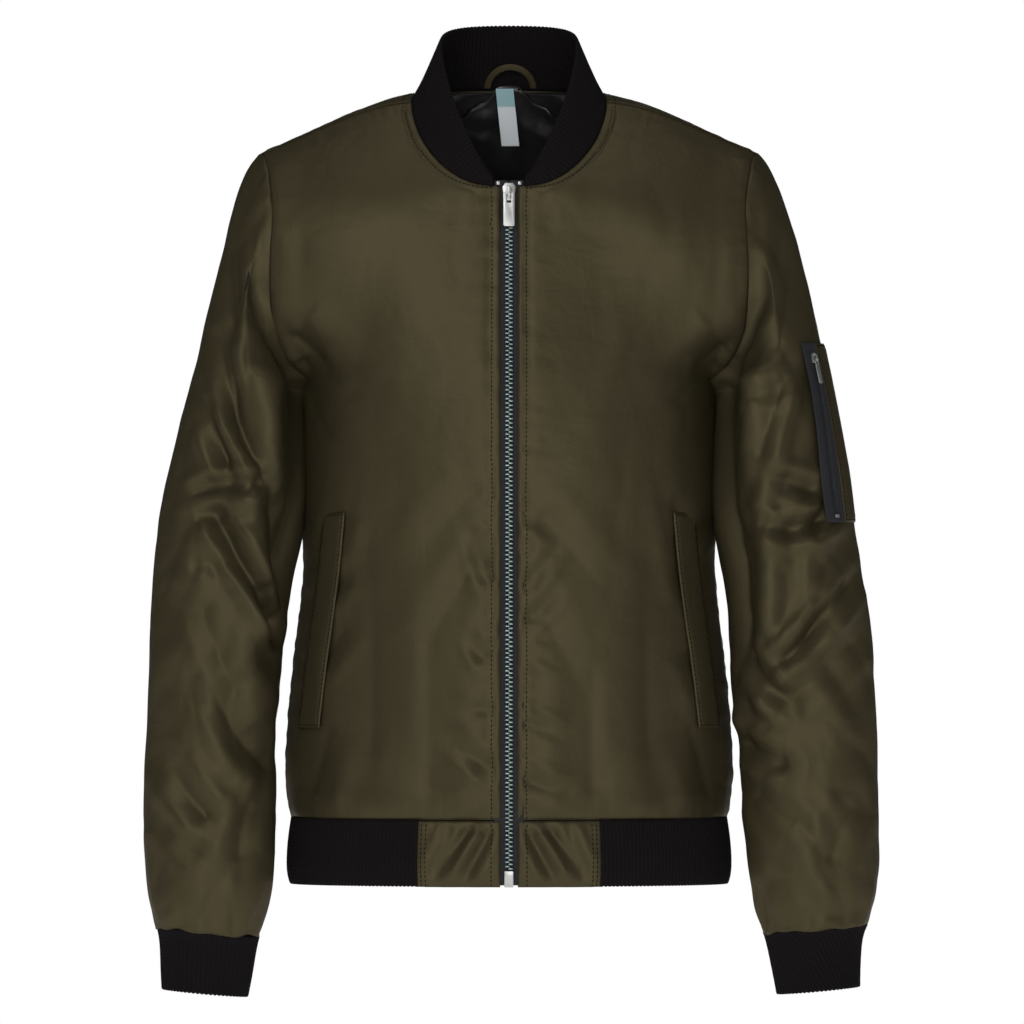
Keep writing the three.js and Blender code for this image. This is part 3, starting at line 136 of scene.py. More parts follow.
class JacketZips(bpy.types.PropertyGroup):
    pitch: FloatProperty(
        name="Pitch", description="From one pair of teeth to the next", unit="LENGTH", default=3.45 * MM
    )
    tooth_width: FloatProperty(
        name="Tooth", description="How far a tooth reaches across", unit="LENGTH", default=3.5 * MM
    )
    pocket_pitch: FloatProperty(
        name="Pocket pitch", description="The same on the sleeve pocket", unit="LENGTH", default=1.9 * MM
    )


class JacketStitching(bpy.types.PropertyGroup):
    length: FloatProperty(name="Stitch", description="Length of a stitch", unit="LENGTH", default=2.5 * MM)
    gap: FloatProperty(name="Gap", description="Gap between stitches", unit="LENGTH", default=1.1 * MM)
    width: FloatProperty(
        name="Thread", description="Thickness of the thread", unit="LENGTH", default=0.95 * MM
    )
    # Near black: partly the thread's own colour, partly painted shade along the stitch line, since the
    # thread's width takes in that shade too.
    colour: FloatVectorProperty(
        name="Thread colour", description="Colour of the thread", subtype="COLOR", size=3,
        default=(0.007, 0.006, 0.004),
    )


class JacketStage(bpy.types.PropertyGroup):
    distance: FloatProperty(
        name="Distance", description="From the camera to the jacket", unit="LENGTH", default=12.0
    )
    view_width: FloatProperty(
        name="View width", description="Width of the picture at the jacket", unit="LENGTH", default=0.7987
    )
    middle_x: FloatProperty(name="Middle", description="Across, at the picture's middle", default=0.0023)
    middle_z: FloatProperty(name="Height", description="Height at the picture's middle", default=-0.3237)
    key: FloatProperty(name="Key light", description="Power of the main light in watts", default=25.0)
    ambient: FloatProperty(name="Ambient", description="Strength of the even light", default=0.08)


GROUPS = {
    "jacket_shell": JacketShell,
    "jacket_ribs": JacketRibs,
    "jacket_zips": JacketZips,
    "jacket_stitching": JacketStitching,
    "jacket_stage": JacketStage,
}


# Shader maths
class Wire:
    """An output socket that takes part in sums as a number does."""

    def __init__(self, tree, socket):
        self.tree = tree
        self.socket = socket

    def maths(self, operation, first, second):
        node = self.tree.nodes.new("ShaderNodeMath")
        node.operation = operation
        for place, value in enumerate((first, second)):
            if isinstance(value, Wire):
                self.tree.links.new(value.socket, node.inputs[place])
            else:
                node.inputs[place].default_value = value
        return Wire(self.tree, node.outputs[0])

    def __add__(self, other):
        return self.maths("ADD", self, other)

    def __radd__(self, other):
        return self.maths("ADD", other, self)

    def __sub__(self, other):
        return self.maths("SUBTRACT", self, other)

    def __rsub__(self, other):
        return self.maths("SUBTRACT", other, self)

    def __mul__(self, other):
        return self.maths("MULTIPLY", self, other)

    def __rmul__(self, other):
        return self.maths("MULTIPLY", other, self)

    def __pow__(self, other):
        return self.maths("POWER", self, other)


class Finish:
    """A material, with one method that adds any node to it."""

    def __init__(self, name):
        self.material = bpy.data.materials.new(name)
        self.material.use_nodes = True
        self.tree = self.material.node_tree
        self.shader = self.tree.nodes["Principled BSDF"]

    def node(self, kind, settings=None, values=None, output=0):
        node = self.tree.nodes.new(kind)
        for name, value in (settings or {}).items():
            setattr(node, name, value)
        self.feed(node, values or {})
        return Wire(self.tree, node.outputs[output])

    def feed(self, node, values):
        for name, value in values.items():
            if isinstance(value, Wire):
                self.tree.links.new(value.socket, node.inputs[name])
            else:
                node.inputs[name].default_value = value

    def set(self, **values):
        self.feed(self.shader, {name.replace("_", " "): value for name, value in values.items()})
        return self.material

    def coordinates(self, kind="Object"):
        return self.node("ShaderNodeTexCoord", output=kind)

    def noise(self, where, scale, detail=2.0, roughness=0.5, distortion=0.0):
        return self.node(
            "ShaderNodeTexNoise",
            values={
                "Vector": where,
                "Scale": scale,
                "Detail": detail,
                "Roughness": roughness,
                "Distortion": distortion,
            },
        )

    def wave(self, where, scale, direction, distortion=0.0):
        return self.node(
            "ShaderNodeTexWave",
            {"bands_direction": direction},
            {"Vector": where, "Scale": scale, "Distortion": distortion},
            output="Fac",
        )

    def stretched(self, where, scale, turn=(0.0, 0.0, 0.0)):
        return self.node("ShaderNodeMapping", values={"Vector": where, "Scale": scale, "Rotation": turn})

    def blended(self, share, first, second):
        return self.node(
            "ShaderNodeMix", {"data_type": "RGBA"}, {0: share, 6: (*first, 1.0), 7: (*second, 1.0)}, output=2
        )

    def bump(self, height, distance, strength=1.0, under=None):
        values = {"Height": height, "Distance": distance, "Strength": strength}
        if under is not None:
            values["Normal"] = under
        return self.node("ShaderNodeBump", values=values)


def shaded(colour, factor):
    return tuple(part * factor for part in colour)


def nylon():
    """Satin nylon: a fine plain weave, soft crumples and a broad, uneven gloss."""
    finish = Finish("olive_nylon")
    colour = bpy.context.scene.jacket_shell.colour
    here = finish.coordinates()
    cloth = finish.coordinates("UV")
    patches = finish.noise(here, 5.0, 3.0, 0.55)
    grain = finish.noise(here, 900.0, 2.0, 0.6)
    tone = patches * 0.8 + grain * 0.2
    base = finish.blended(tone, shaded(colour, 0.86), shaded(colour, 1.14))
    weave = finish.wave(cloth, 700.0, "X") * finish.wave(cloth, 700.0, "Y")
    crumple = finish.noise(finish.stretched(here, (1.0, 1.0, 1.7)), 26.0, 4.0, 0.5, 0.4)
    fold = finish.noise(finish.stretched(here, (2.0, 2.0, 1.0)), 34.0, 2.0, 0.45, 0.6) * 2 - 1
    creases = fold * fold
    under = finish.bump(crumple, 1.6 * MM, 0.6)
    under = finish.bump(creases**0.5, 1.4 * MM, 0.16, under)
    under = finish.bump(weave + grain * 0.5, 0.05 * MM, 0.5, under)
    gloss = 0.40 + patches * 0.08 + grain * 0.05
    return finish.set(
        Base_Color=base, Roughness=gloss, Normal=under, Metallic=0.45,
        Specular_IOR_Level=0.2, Specular_Tint=(0.40, 0.36, 0.26, 1.0),
    )


def knit():
    """Rib knit: rows of small loops along each rib, matt and nearly black, with painted shade between the
    loops.
    """
    finish = Finish("black_rib_knit")
    colour = bpy.context.scene.jacket_ribs.colour
    cloth = finish.coordinates("UV")
    here = finish.coordinates()
    loops = finish.wave(cloth, 170.0, "Y", 1.5)
    fluff = finish.noise(here, 700.0, 3.0, 0.7)
    # The fluff varies the tone at random. The loops' share paints shade: darker in the hollows between the
    # loops, where their bump lies low.
    base = finish.blended(fluff * 0.7 + loops * 0.3, shaded(colour, 0.7), shaded(colour, 1.5))
    under = finish.bump(loops, 0.25 * MM, 0.6)
    under = finish.bump(fluff, 0.15 * MM, 0.6, under)
    rough = 0.86 + fluff * 0.1
    return finish.set(Base_Color=base, Roughness=rough, Normal=under, Specular_IOR_Level=0.12)


def satin_lining():
    """Black satin with a soft grey sheen painted into its colour along its folds."""
    finish = Finish("black_satin_lining")
    here = finish.coordinates()
    folds = finish.noise(finish.stretched(here, (1.0, 1.0, 0.6), (0.0, 0.5, 0.0)), 22.0, 3.0, 0.5, 0.6)
    grain = finish.noise(here, 1100.0, 1.0, 0.5)
    # Painted sheen: the colour turns lighter where the folds' noise, which also raises the bump, stands
    # high.
    base = finish.blended(folds, (0.004, 0.004, 0.0045), (0.009, 0.009, 0.010))
    under = finish.bump(folds, 3.0 * MM, 0.8)
    under = finish.bump(grain, 0.03 * MM, 0.4, under)
    return finish.set(Base_Color=base, Roughness=0.3 + grain * 0.12, Normal=under)


def woven_tape():
    """Zip tape: a dense herringbone weave in blue-black."""
    finish = Finish("woven_zip_tape")
    cloth = finish.coordinates("UV")
    here = finish.coordinates()
    across = finish.wave(cloth, 330.0, "X", 0.6)
    along = finish.wave(cloth, 520.0, "DIAGONAL", 0.4)
    fluff = finish.noise(here, 800.0, 2.0, 0.6)
    weave = across * 0.6 + along * 0.4
    base = finish.blended(weave * 0.6 + fluff * 0.4, (0.0065, 0.0068, 0.0085), (0.019, 0.020, 0.024))
    rough = 0.78 + fluff * 0.15
    under = finish.bump(weave, 0.12 * MM, 0.7)
    return finish.set(Base_Color=base, Roughness=rough, Normal=under)


def plated(name, dark, light, rough):
    """Plated metal with faint polishing marks and handling wear."""
    finish = Finish(name)
    here = finish.coordinates()
    wear = finish.noise(here, 180.0, 4.0, 0.65)
    marks = finish.noise(finish.stretched(here, (1.0, 1.0, 12.0)), 900.0, 2.0, 0.5)
    base = finish.blended(wear, dark, light)
    gloss = rough + wear * 0.16 + marks * 0.08
    under = finish.bump(marks, 0.02 * MM, 0.5)
    return finish.set(Base_Color=base, Roughness=gloss, Normal=under, Metallic=1.0)


# Where the label's band starts and is full, below the label's top
LABEL_BAND = 15.0 * MM
LABEL_BAND_BLEND = 13.5 * MM


def ribbon():
    """White satin ribbon with a woven edge of blue-green at its top."""
    finish = Finish("label_ribbon")
    here = finish.coordinates()
    grain = finish.noise(here, 900.0, 2.0, 0.5)
    height = finish.node("ShaderNodeSeparateXYZ", values={"Vector": here}, output="Z")
    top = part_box("neck_label")[1].z
    band = finish.node(
        "ShaderNodeMapRange",
        values={"Value": height, "From Min": top - LABEL_BAND, "From Max": top - LABEL_BAND_BLEND},
        output="Result",
    )
    base = finish.blended(band, (0.74, 0.79, 0.82), (0.30, 0.50, 0.54))
    rough = 0.45 + grain * 0.15
    under = finish.bump(grain, 0.05 * MM, 0.5)
    return finish.set(Base_Color=base, Roughness=rough, Normal=under)


def thread():
    """Twisted polyester thread, near black so that it also carries the painted shade along its stitch line.
    """
    finish = Finish("sewing_thread")
    here = finish.coordinates()
    colour = bpy.context.scene.jacket_stitching.colour
    twist = finish.noise(here, 1500.0, 2.0, 0.6)
    base = finish.blended(twist, shaded(colour, 0.75), shaded(colour, 1.3))
    rough = 0.8 + twist * 0.15
    under = finish.bump(twist, 0.05 * MM, 0.5)
    return finish.set(Base_Color=base, Roughness=rough, Normal=under, Specular_IOR_Level=0.08)


def plain_floor():
    """The pale studio floor."""
    finish = Finish("studio_floor")
    here = finish.coordinates()
    mottle = finish.noise(here, 3.0, 2.0, 0.5)
    base = finish.blended(mottle, (0.90, 0.90, 0.90), (0.93, 0.93, 0.93))
    glow = {"Emission_Color": (1.0, 1.0, 1.0, 1.0), "Emission_Strength": 0.55}
    return finish.set(Base_Color=base, Roughness=0.9 + mottle * 0.05, **glow)


MAKERS = {
    "nylon": nylon,
    "knit": knit,
    "lining": satin_lining,
    "tape": woven_tape,
    "pocket_teeth": lambda: plated("dark_teeth", (0.03, 0.035, 0.04), (0.10, 0.11, 0.12), 0.4),
    "teeth": lambda: plated("nickel_teeth", (0.16, 0.22, 0.22), (0.42, 0.50, 0.49), 0.30),
    "silver": lambda: plated("bright_plate", (0.46, 0.46, 0.44), (0.62, 0.62, 0.60), 0.3),
    "ribbon": ribbon,
    "thread": thread,
    "floor": plain_floor,
}
finishes = {}


def finish_of(kind):
    if kind not in finishes:
        finishes[kind] = MAKERS[kind]()
    return finishes[kind]


# Reading the CAD walls
def merged_copy(node):
    """A bmesh of a CAD node with its loose triangles joined up."""
    bm = bmesh.new()
    bm.from_mesh(frame["nodes"][node].data)
    bmesh.ops.remove_doubles(bm, verts=bm.verts, dist=MERGE_DISTANCE)
    return bm


def keep_side(bm, inner):
    """Keeps one side of a wall: the largest run of faces with no sharp edge between them, or the
    next one, the plain inner side of a ribbed wall."""
    waiting = set(bm.faces)
    if not inner:
        across_wall = [edge for edge in bm.edges if abs(edge.calc_length() - CAD_WALL) < MERGE_DISTANCE]
        waiting.difference_update(face for edge in across_wall for face in edge.link_faces)
    sides = []
    while waiting:
        side = [waiting.pop()]
        for face in side:
            for edge in face.edges:
                if edge.calc_face_angle(math.pi) < SHARP_EDGE:
                    found = [other for other in edge.link_faces if other in waiting]
                    waiting.difference_update(found)
                    side.extend(found)
        sides.append(side)
    sides.sort(key=lambda side: sum(face.calc_area() for face in side), reverse=True)
    kept = set(sides[1 if inner else 0])
    rest = [face for face in bm.faces if face not in kept]
    bmesh.ops.delete(bm, geom=rest, context="FACES")


def square_up(bm):
    """Takes out each four-sided face's diagonal. Round every triangle the diagonal, the row
    and the column follow in one order, so one guess settles all, and no diagonal is on the rim."""
    bm.faces.ensure_lookup_table()
    for guess in bm.faces[0].loops:
        diagonals = {guess.face: guess}
        waiting = [guess.face]
        for face in waiting:
            loop = diagonals[face]
            for step in range(3):
                across = loop.link_loop_radial_next
                if across.face not in diagonals:
                    waiting.append(across.face)
                    for _ in range(step):
                        across = across.link_loop_prev
                    diagonals[across.face] = across
                loop = loop.link_loop_next
        edges = {loop.edge for loop in diagonals.values()}
        if not any(edge.is_boundary for edge in edges):
            bmesh.ops.dissolve_edges(bm, edges=list(edges), use_verts=False, use_face_split=False)
            return
    raise RuntimeError("a wall is not made of four-sided faces")


def rim_path(start, edge, closed):
    """Follows the rim from a vertex to the next corner, or all round a closed rim."""
    path = [start]
    while True:
        path.append(edge.other_vert(path[-1]))
        here = path[-1]
        if here == start or (not closed and len(here.link_faces) == 1):
            return path
        edge = next(e for e in here.link_edges if e.is_boundary and e != edge)


def climb(a, b):
    """Pairs of vertices, from an edge straight across the sheet to its far rim."""
    pairs = [(a, b)]
    edge = next(e for e in a.link_edges if b in e.verts)
    face = edge.link_faces[0]
    while face:
        loop = next(near for near in face.loops if near.edge == edge)
        far = loop.link_loop_next.link_loop_next
        ends = (far.link_loop_next.vert, far.vert)
        pairs.append(ends if loop.vert == pairs[-1][0] else ends[::-1])
        edge = far.edge
        face = next((other for other in edge.link_faces if other != face), None)
    return pairs


def read_strips(node, start, finish, closed=False, inner=False):
    """The strips of faces of one side of a CAD wall, from the rim that runs from one place to
    another. A closed rim starts at the first place and sets off towards the second."""
    bm = merged_copy(node)
    keep_side(bm, inner)
    square_up(bm)
    start, finish = Vector(start) * MM, Vector(finish) * MM
    corners = [v for v in bm.verts if v.is_boundary and (closed or len(v.link_faces) == 1)]
    corner = min(corners, key=lambda v: (v.co - start).length)
    paths = [rim_path(corner, edge, closed) for edge in corner.link_edges if edge.is_boundary]
    target = 1 if closed else -1
    path = min(paths, key=lambda p: (p[target].co - finish).length)
    strips = [[(a.co.copy(), b.co.copy()) for a, b in climb(*ends)] for ends in zip(path, path[1:])]
    bm.free()
    return strips


def grid_of(strips, closed=False):
    """Rows of points from strips. A closed grid doesn't repeat its first column."""
    rows = []
    for row in zip(*strips):
        line = [pair[0] for pair in row]
        rows.append(line if closed else line + [row[-1][1]])
    return np.array(rows, float)


# Smooth finer grids
def smooth_weights(count, places, closed=False, corners=()):
    """Weights that read a smooth curve led by points, at places counted in points. The curve
    keeps its corners."""
    weights = np.zeros((len(places), count))
    if corners:
        corner = corners[0]
        below = places <= corner
        later = tuple(place - corner for place in corners[1:])
        weights[below, : corner + 1] = smooth_weights(corner + 1, places[below])
        weights[~below, corner:] = smooth_weights(count - corner, places[~below] - corner, False, later)
        return weights
    for line, place in zip(weights, places):
        first = int(min(place, count - (1 if closed else 2)))
        t = place - first
        shares = ((1 - t) ** 3, 4 - 6 * t**2 + 3 * t**3, 1 + 3 * t + 3 * t**2 - 3 * t**3, t**3)
        for at, share in enumerate(shares, first - 1):
            if closed:
                line[at % count] += share / 6
            elif at < 0:
                line[0] += share / 3
                line[1] -= share / 6
            elif at >= count:
                line[-1] += share / 3
                line[-2] -= share / 6
            else:
                line[at] += share / 6
    return weights


def mean_steps(grid, axis, closed=False):
    after = np.roll(grid, -1, axis)
    steps = np.linalg.norm(after - grid, axis=2).mean(1 - axis)
    return steps if closed else steps[:-1]


def even_places(steps, cell):
    """Places that cut each step of a grid into pieces of about one cell."""
    places = [0.0]
    for at, step in enumerate(steps):
        cuts = max(1, round(step / cell))
        places.extend(at + (np.arange(cuts) + 1) / cuts)
    return np.array(places)


def sharpest_row(line):
    """The point of a line where it turns the most."""
    steps = np.diff(line, axis=0)
    steps /= np.linalg.norm(steps, axis=1, keepdims=True)
    return int(np.argmin((steps[1:] * steps[:-1]).sum(1))) + 1


def finer_grid(grid, cell, closed=False, corners=()):
    rows = even_places(mean_steps(grid, 0), cell)
    columns = even_places(mean_steps(grid, 1, closed), cell)
    if closed:
        columns = columns[:-1]
    by_row = smooth_weights(grid.shape[0], rows, False, corners)
    by_column = smooth_weights(grid.shape[1], columns, closed)
    return np.einsum("ri,cj,ijk->rck", by_row, by_column, grid)


def outward(grid, closed=False):
    """Unit normals of a grid."""
    if closed:
        across = np.roll(grid, -1, 1) - np.roll(grid, 1, 1)
    else:
        across = np.gradient(grid, axis=1)
    normals = np.cross(across, np.gradient(grid, axis=0))
    return normals / np.linalg.norm(normals, axis=2, keepdims=True)


def weave_grid(bm, grid, closed=False, loop=False):
    """Adds a grid of faces at the given points, with a UV map in metres. A closed grid joins its
    last column to its first, and a loop joins its last row to its first."""
    if closed:
        grid = np.concatenate([grid, grid[:, :1]], 1)
    if loop:
        grid = np.concatenate([grid, grid[:1]], 0)
    rows, columns = grid.shape[:2]
    made = bmesh.ops.create_grid(bm, x_segments=columns - 1, y_segments=rows - 1, size=0.5)["verts"]
    along = np.concatenate([[0], np.cumsum(mean_steps(grid, 0))])
    across = np.concatenate([[0], np.cumsum(mean_steps(grid, 1))])
    layer = bm.loops.layers.uv.verify()
    for place, vertex in enumerate(made):
        row, column = divmod(place, columns)
        vertex.co = grid[row, column]
        for corner in vertex.link_loops:
            corner[layer].uv = (across[column], along[row])


def woven_piece(name, grid, kind, hollow, closed=False):
    """A piece with one sheet of faces on a grid."""
    bm = bmesh.new()
    weave_grid(bm, grid, closed)
    return new_piece(name, bm, kind, hollow)


def new_piece(name, bm, kind, hollow=None):
    """Finishes a mesh as a smooth object with its material. The faces turn away from a hollow."""
    bmesh.ops.remove_doubles(bm, verts=bm.verts, dist=MERGE_DISTANCE)
    if hollow is not None:
        middle = Vector(hollow) * MM
        facing = sum(f.normal.dot(f.calc_center_median() - middle) * f.calc_area() for f in bm.faces)
        if facing < 0:
            bmesh.ops.reverse_faces(bm, faces=bm.faces)
    mesh = bpy.data.meshes.new(name)
    bm.to_mesh(mesh)
    bm.free()
    mesh.polygons.foreach_set("use_smooth", [True] * len(mesh.polygons))
    piece = bpy.data.objects.new(name, mesh)
    bpy.context.scene.collection.objects.link(piece)
    mesh.materials.append(finish_of(kind))
    return piece


def settle(piece, body, slot, *nodes):
    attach(piece, body)
    if nodes:
        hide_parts(*nodes)


# Folds, in millimetres as seen straight on from the front or the back. Each fold runs from one
# place by a second to a third, with a width and a depth. Its strength at both ends is a share of
# its depth, and a negative depth stands out.
FRONT, BACK = -1, 1
SLEEVE_RIGHT_FOLDS = (
    (FRONT, (-164, -196), (-160, -300), (-168, -440), 20, 13.5, (0.8, 1.0)),
    (BACK, (-160, -206), (-160, -300), (-170, -430), 18, 6.0, (0.6, 0.7)),
    (FRONT, (-215, -112), (-212, -138), (-214, -158), 7, 2.6, (0.3, 0.8)),
    (FRONT, (-220, -110), (-221, -150), (-216, -185), 8, 3.0, (0.3, 1.0)),
    (FRONT, (-199, -144), (-179, -163), (-156, -200), 8, 7.4, (0.2, 1.0)),
    (FRONT, (-204, -152), (-186, -180), (-166, -206), 10, 4.2, (0.2, 0.9)),
    (FRONT, (-176, -206), (-170, -216), (-163, -222), 8, 2.6, (0.2, 1.0)),
    (FRONT, (-229, -178), (-224, -225), (-206, -262), 9, 3.6, (0.3, 1.0)),
    (FRONT, (-222, -190), (-212, -238), (-196, -288), 9, 4.4, (0.4, 0.9)),
    (FRONT, (-204, -192), (-205, -236), (-197, -272), 8, 3.0, (0.5, 0.5)),
    (FRONT, (-237, -230), (-234, -262), (-214, -292), 8, 5.6, (0.3, 1.0)),
    (FRONT, (-209, -262), (-200, -282), (-190, -300), 7, 3.6, (0.5, 1.0)),
    (FRONT, (-229, -238), (-219, -266), (-203, -296), 8, -2.6, (0.4, 0.8)),
    (FRONT, (-250, -311), (-220, -297), (-190, -303), 7, 5.4, (0.5, 0.9)),
    (FRONT, (-186, -306), (-180, -340), (-166, -376), 14, 6.5, (0.6, 1.0)),
    (FRONT, (-246, -326), (-226, -321), (-200, -330), 8, 3.0, (0.5, 0.7)),
    (FRONT, (-250, -364), (-226, -358), (-208, -368), 9, 2.4, (0.6, 0.5)),
    (FRONT, (-233, -321), (-207, -358), (-177, -420), 8, 9.0, (0.4, 1.0)),
    (FRONT, (-210, -338), (-192, -378), (-170, -420), 9, 4.0, (0.3, 1.0)),
    (FRONT, (-240, -392), (-228, -430), (-208, -468), 12, 3.2, (0.3, 0.8)),
    (FRONT, (-233, -458), (-210, -498), (-180, -526), 12, 4.4, (0.4, 1.0)),
    (FRONT, (-252, -440), (-243, -478), (-238, -508), 11, 2.4, (0.5, 0.5)),
    (FRONT, (-266, -515), (-252, -545), (-232, -562), 11, 4.6, (0.4, 1.0)),
    (FRONT, (-270, -560), (-256, -580), (-238, -590), 10, 2.6, (0.5, 0.5)),
    (FRONT, (-196, -548), (-208, -572), (-206, -596), 12, 4.0, (0.6, 0.5)),
    (BACK, (-214, -120), (-196, -160), (-170, -198), 11, 5.2, (0.3, 1.0)),
    (BACK, (-228, -150), (-214, -204), (-182, -240), 10, 3.4, (0.4, 0.8)),
    (BACK, (-246, -232), (-226, -262), (-190, -276), 11, 3.4, (0.4, 0.9)),
    (BACK, (-258, -318), (-226, -330), (-186, -352), 10, 5.0, (0.4, 1.0)),
    (BACK, (-262, -340), (-230, -350), (-196, -384), 10, 4.2, (0.5, 0.7)),
    (BACK, (-240, -352), (-214, -394), (-184, -430), 11, 4.8, (0.4, 1.0)),
    (BACK, (-262, -420), (-236, -446), (-196, -462), 12, 3.2, (0.4, 0.6)),
    (BACK, (-256, -490), (-228, -526), (-190, -548), 12, 4.6, (0.4, 0.9)),
    (BACK, (-272, -540), (-250, -570), (-222, -584), 11, 3.4, (0.5, 0.6)),
)
SLEEVE_LEFT_FOLDS = (
    (FRONT, (168, -190), (164, -300), (174, -450), 20, 13.5, (0.9, 0.9)),
    (BACK, (162, -206), (160, -300), (170, -430), 18, 6.0, (0.6, 0.7)),
    (FRONT, (200, -150), (196, -160), (190, -170), 10, 2.0, (0.2, 0.5)),
    (FRONT, (198, -158), (187, -180), (168, -212), 8, 7.0, (0.2, 1.0)),
    (FRONT, (214, -84), (214, -110), (212, -132), 7, 2.0, (0.5, 0.4)),
    (FRONT, (222, -130), (220, -170), (206, -204), 12, 3.2, (0.4, 0.6)),
    (FRONT, (216, -218), (205, -229), (194, -238), 7, 3.6, (0.4, 0.9)),
    (FRONT, (222, -222), (214, -254), (207, -286), 8, -3.0, (0.6, 0.8)),
    (FRONT, (212, -226), (201, -252), (196, -284), 8, 3.4, (0.5, 0.6)),
    (FRONT, (196, -296), (222, -300), (240, -309), 8, 4.4, (0.4, 1.0)),
    (FRONT, (214, -303), (206, -318), (196, -332), 8, 3.6, (0.9, 0.3)),
    (FRONT, (194, -330), (214, -345), (252, -326), 8, 6.0, (0.5, 0.9)),
    (FRONT, (250, -312), (240, -330), (238, -346), 8, 3.4, (0.8, 0.5)),
    (FRONT, (254, -352), (244, -372), (238, -396), 10, 3.4, (0.7, 0.5)),
    (FRONT, (270, -372), (246, -410), (206, -444), 8, 6.4, (0.5, 1.0)),
    (FRONT, (244, -374), (226, -410), (205, -452), 9, -3.0, (0.4, 0.8)),
    (FRONT, (212, -364), (218, -396), (204, -434), 10, 3.4, (0.5, 0.7)),
    (FRONT, (176, -430), (196, -456), (218, -472), 8, 5.4, (0.9, 0.5)),
    (FRONT, (214, -472), (240, -452), (272, -420), 11, 4.0, (0.6, 0.5)),
    (FRONT, (178, -500), (196, -516), (216, -520), 9, 5.0, (0.9, 0.5)),
    (FRONT, (182, -470), (190, -486), (204, -492), 8, 3.0, (0.9, 0.4)),
    (FRONT, (188, -540), (206, -556), (222, -566), 11, 3.4, (0.8, 0.4)),
    (FRONT, (270, -548), (256, -572), (250, -598), 12, 3.4, (0.5, 0.6)),
    (BACK, (212, -118), (196, -164), (172, -206), 11, 5.2, (0.3, 1.0)),
    (BACK, (228, -160), (212, -204), (186, -236), 10, 3.4, (0.4, 0.7)),
    (BACK, (196, -262), (222, -258), (250, -246), 10, 3.0, (0.9, 0.4)),
    (BACK, (192, -318), (222, -322), (258, -342), 10, 5.0, (0.8, 0.6)),
    (BACK, (194, -346), (218, -352), (250, -374), 9, 3.8, (0.9, 0.5)),
    (BACK, (196, -386), (222, -366), (252, -354), 10, 3.8, (0.8, 0.5)),
    (BACK, (200, -424), (230, -428), (264, -412), 12, 3.2, (0.7, 0.5)),
    (BACK, (198, -520), (226, -506), (264, -470), 12, 4.6, (0.8, 0.5)),
    (BACK, (206, -566), (232, -552), (264, -532), 11, 3.2, (0.7, 0.5)),
)
FRONT_FOLDS = (
    (FRONT, (-172, -186), (-146, -206), (-116, -240), 16, 4.7, (0.9, 0.2)),
    (FRONT, (-164, -204), (-150, -232), (-136, -272), 14, 3.6, (0.9, 0.2)),
    (FRONT, (172, -194), (148, -212), (122, -244), 16, 4.7, (0.9, 0.2)),
    (FRONT, (166, -208), (154, -236), (144, -276), 14, 3.6, (0.9, 0.2)),
    (FRONT, (-22, -300), (-48, -330), (-82, -372), 14, 2.2, (0.8, 0.1)),
    (FRONT, (-20, -352), (-44, -392), (-70, -438), 13, 2.0, (0.8, 0.1)),
    (FRONT, (22, -322), (50, -352), (84, -398), 14, 2.2, (0.8, 0.1)),
    (FRONT, (20, -392), (42, -430), (64, -476), 13, 2.0, (0.8, 0.1)),
    (FRONT, (-112, -330), (-104, -420), (-108, -520), 22, 2.9, (0.3, 0.8)),
    (FRONT, (-66, -400), (-60, -470), (-64, -548), 20, 2.5, (0.2, 1.0)),
    (FRONT, (70, -410), (62, -480), (66, -548), 20, 2.5, (0.2, 1.0)),
    (FRONT, (112, -340), (104, -430), (110, -520), 22, 2.9, (0.3, 0.8)),
    (FRONT, (-136, -486), (-148, -512), (-156, -544), 14, 3.2, (0.4, 0.9)),
    (FRONT, (138, -486), (150, -512), (158, -544), 14, 3.2, (0.4, 0.9)),
    (FRONT, (-17, -380), (-23, -358), (-32, -332), 6, 2.6, (1.0, 0.1)),
    (FRONT, (-19, -440), (-24, -430), (-33, -416), 6, 2.4, (1.0, 0.1)),
    (FRONT, (-18, -474), (-26, -477), (-40, -480), 6, 2.4, (1.0, 0.1)),
    (FRONT, (-17, -520), (-32, -512), (-50, -494), 8, 2.8, (1.0, 0.1)),
    (FRONT, (15, -380), (26, -366), (42, -346), 6, 2.8, (1.0, 0.1)),
    (FRONT, (15, -408), (25, -397), (40, -384), 6, 2.6, (1.0, 0.1)),
    (FRONT, (16, -486), (26, -490), (42, -498), 7, 2.6, (1.0, 0.1)),
    (FRONT, (14, -530), (30, -538), (52, -542), 8, 3.0, (1.0, 0.1)),
    (FRONT, (-128, -322), (-134, -350), (-150, -366), 9, 3.0, (0.4, 0.6)),
    (FRONT, (-130, -372), (-142, -392), (-152, -396), 8, 3.2, (0.5, 0.6)),
    (FRONT, (-128, -412), (-138, -432), (-150, -446), 9, 3.0, (0.4, 0.6)),
    (FRONT, (126, -310), (132, -350), (142, -392), 9, 3.4, (0.4, 0.6)),
    (FRONT, (134, -348), (146, -340), (156, -326), 8, 2.8, (0.5, 0.6)),
    (FRONT, (136, -430), (146, -446), (154, -470), 9, 3.0, (0.4, 0.6)),
)
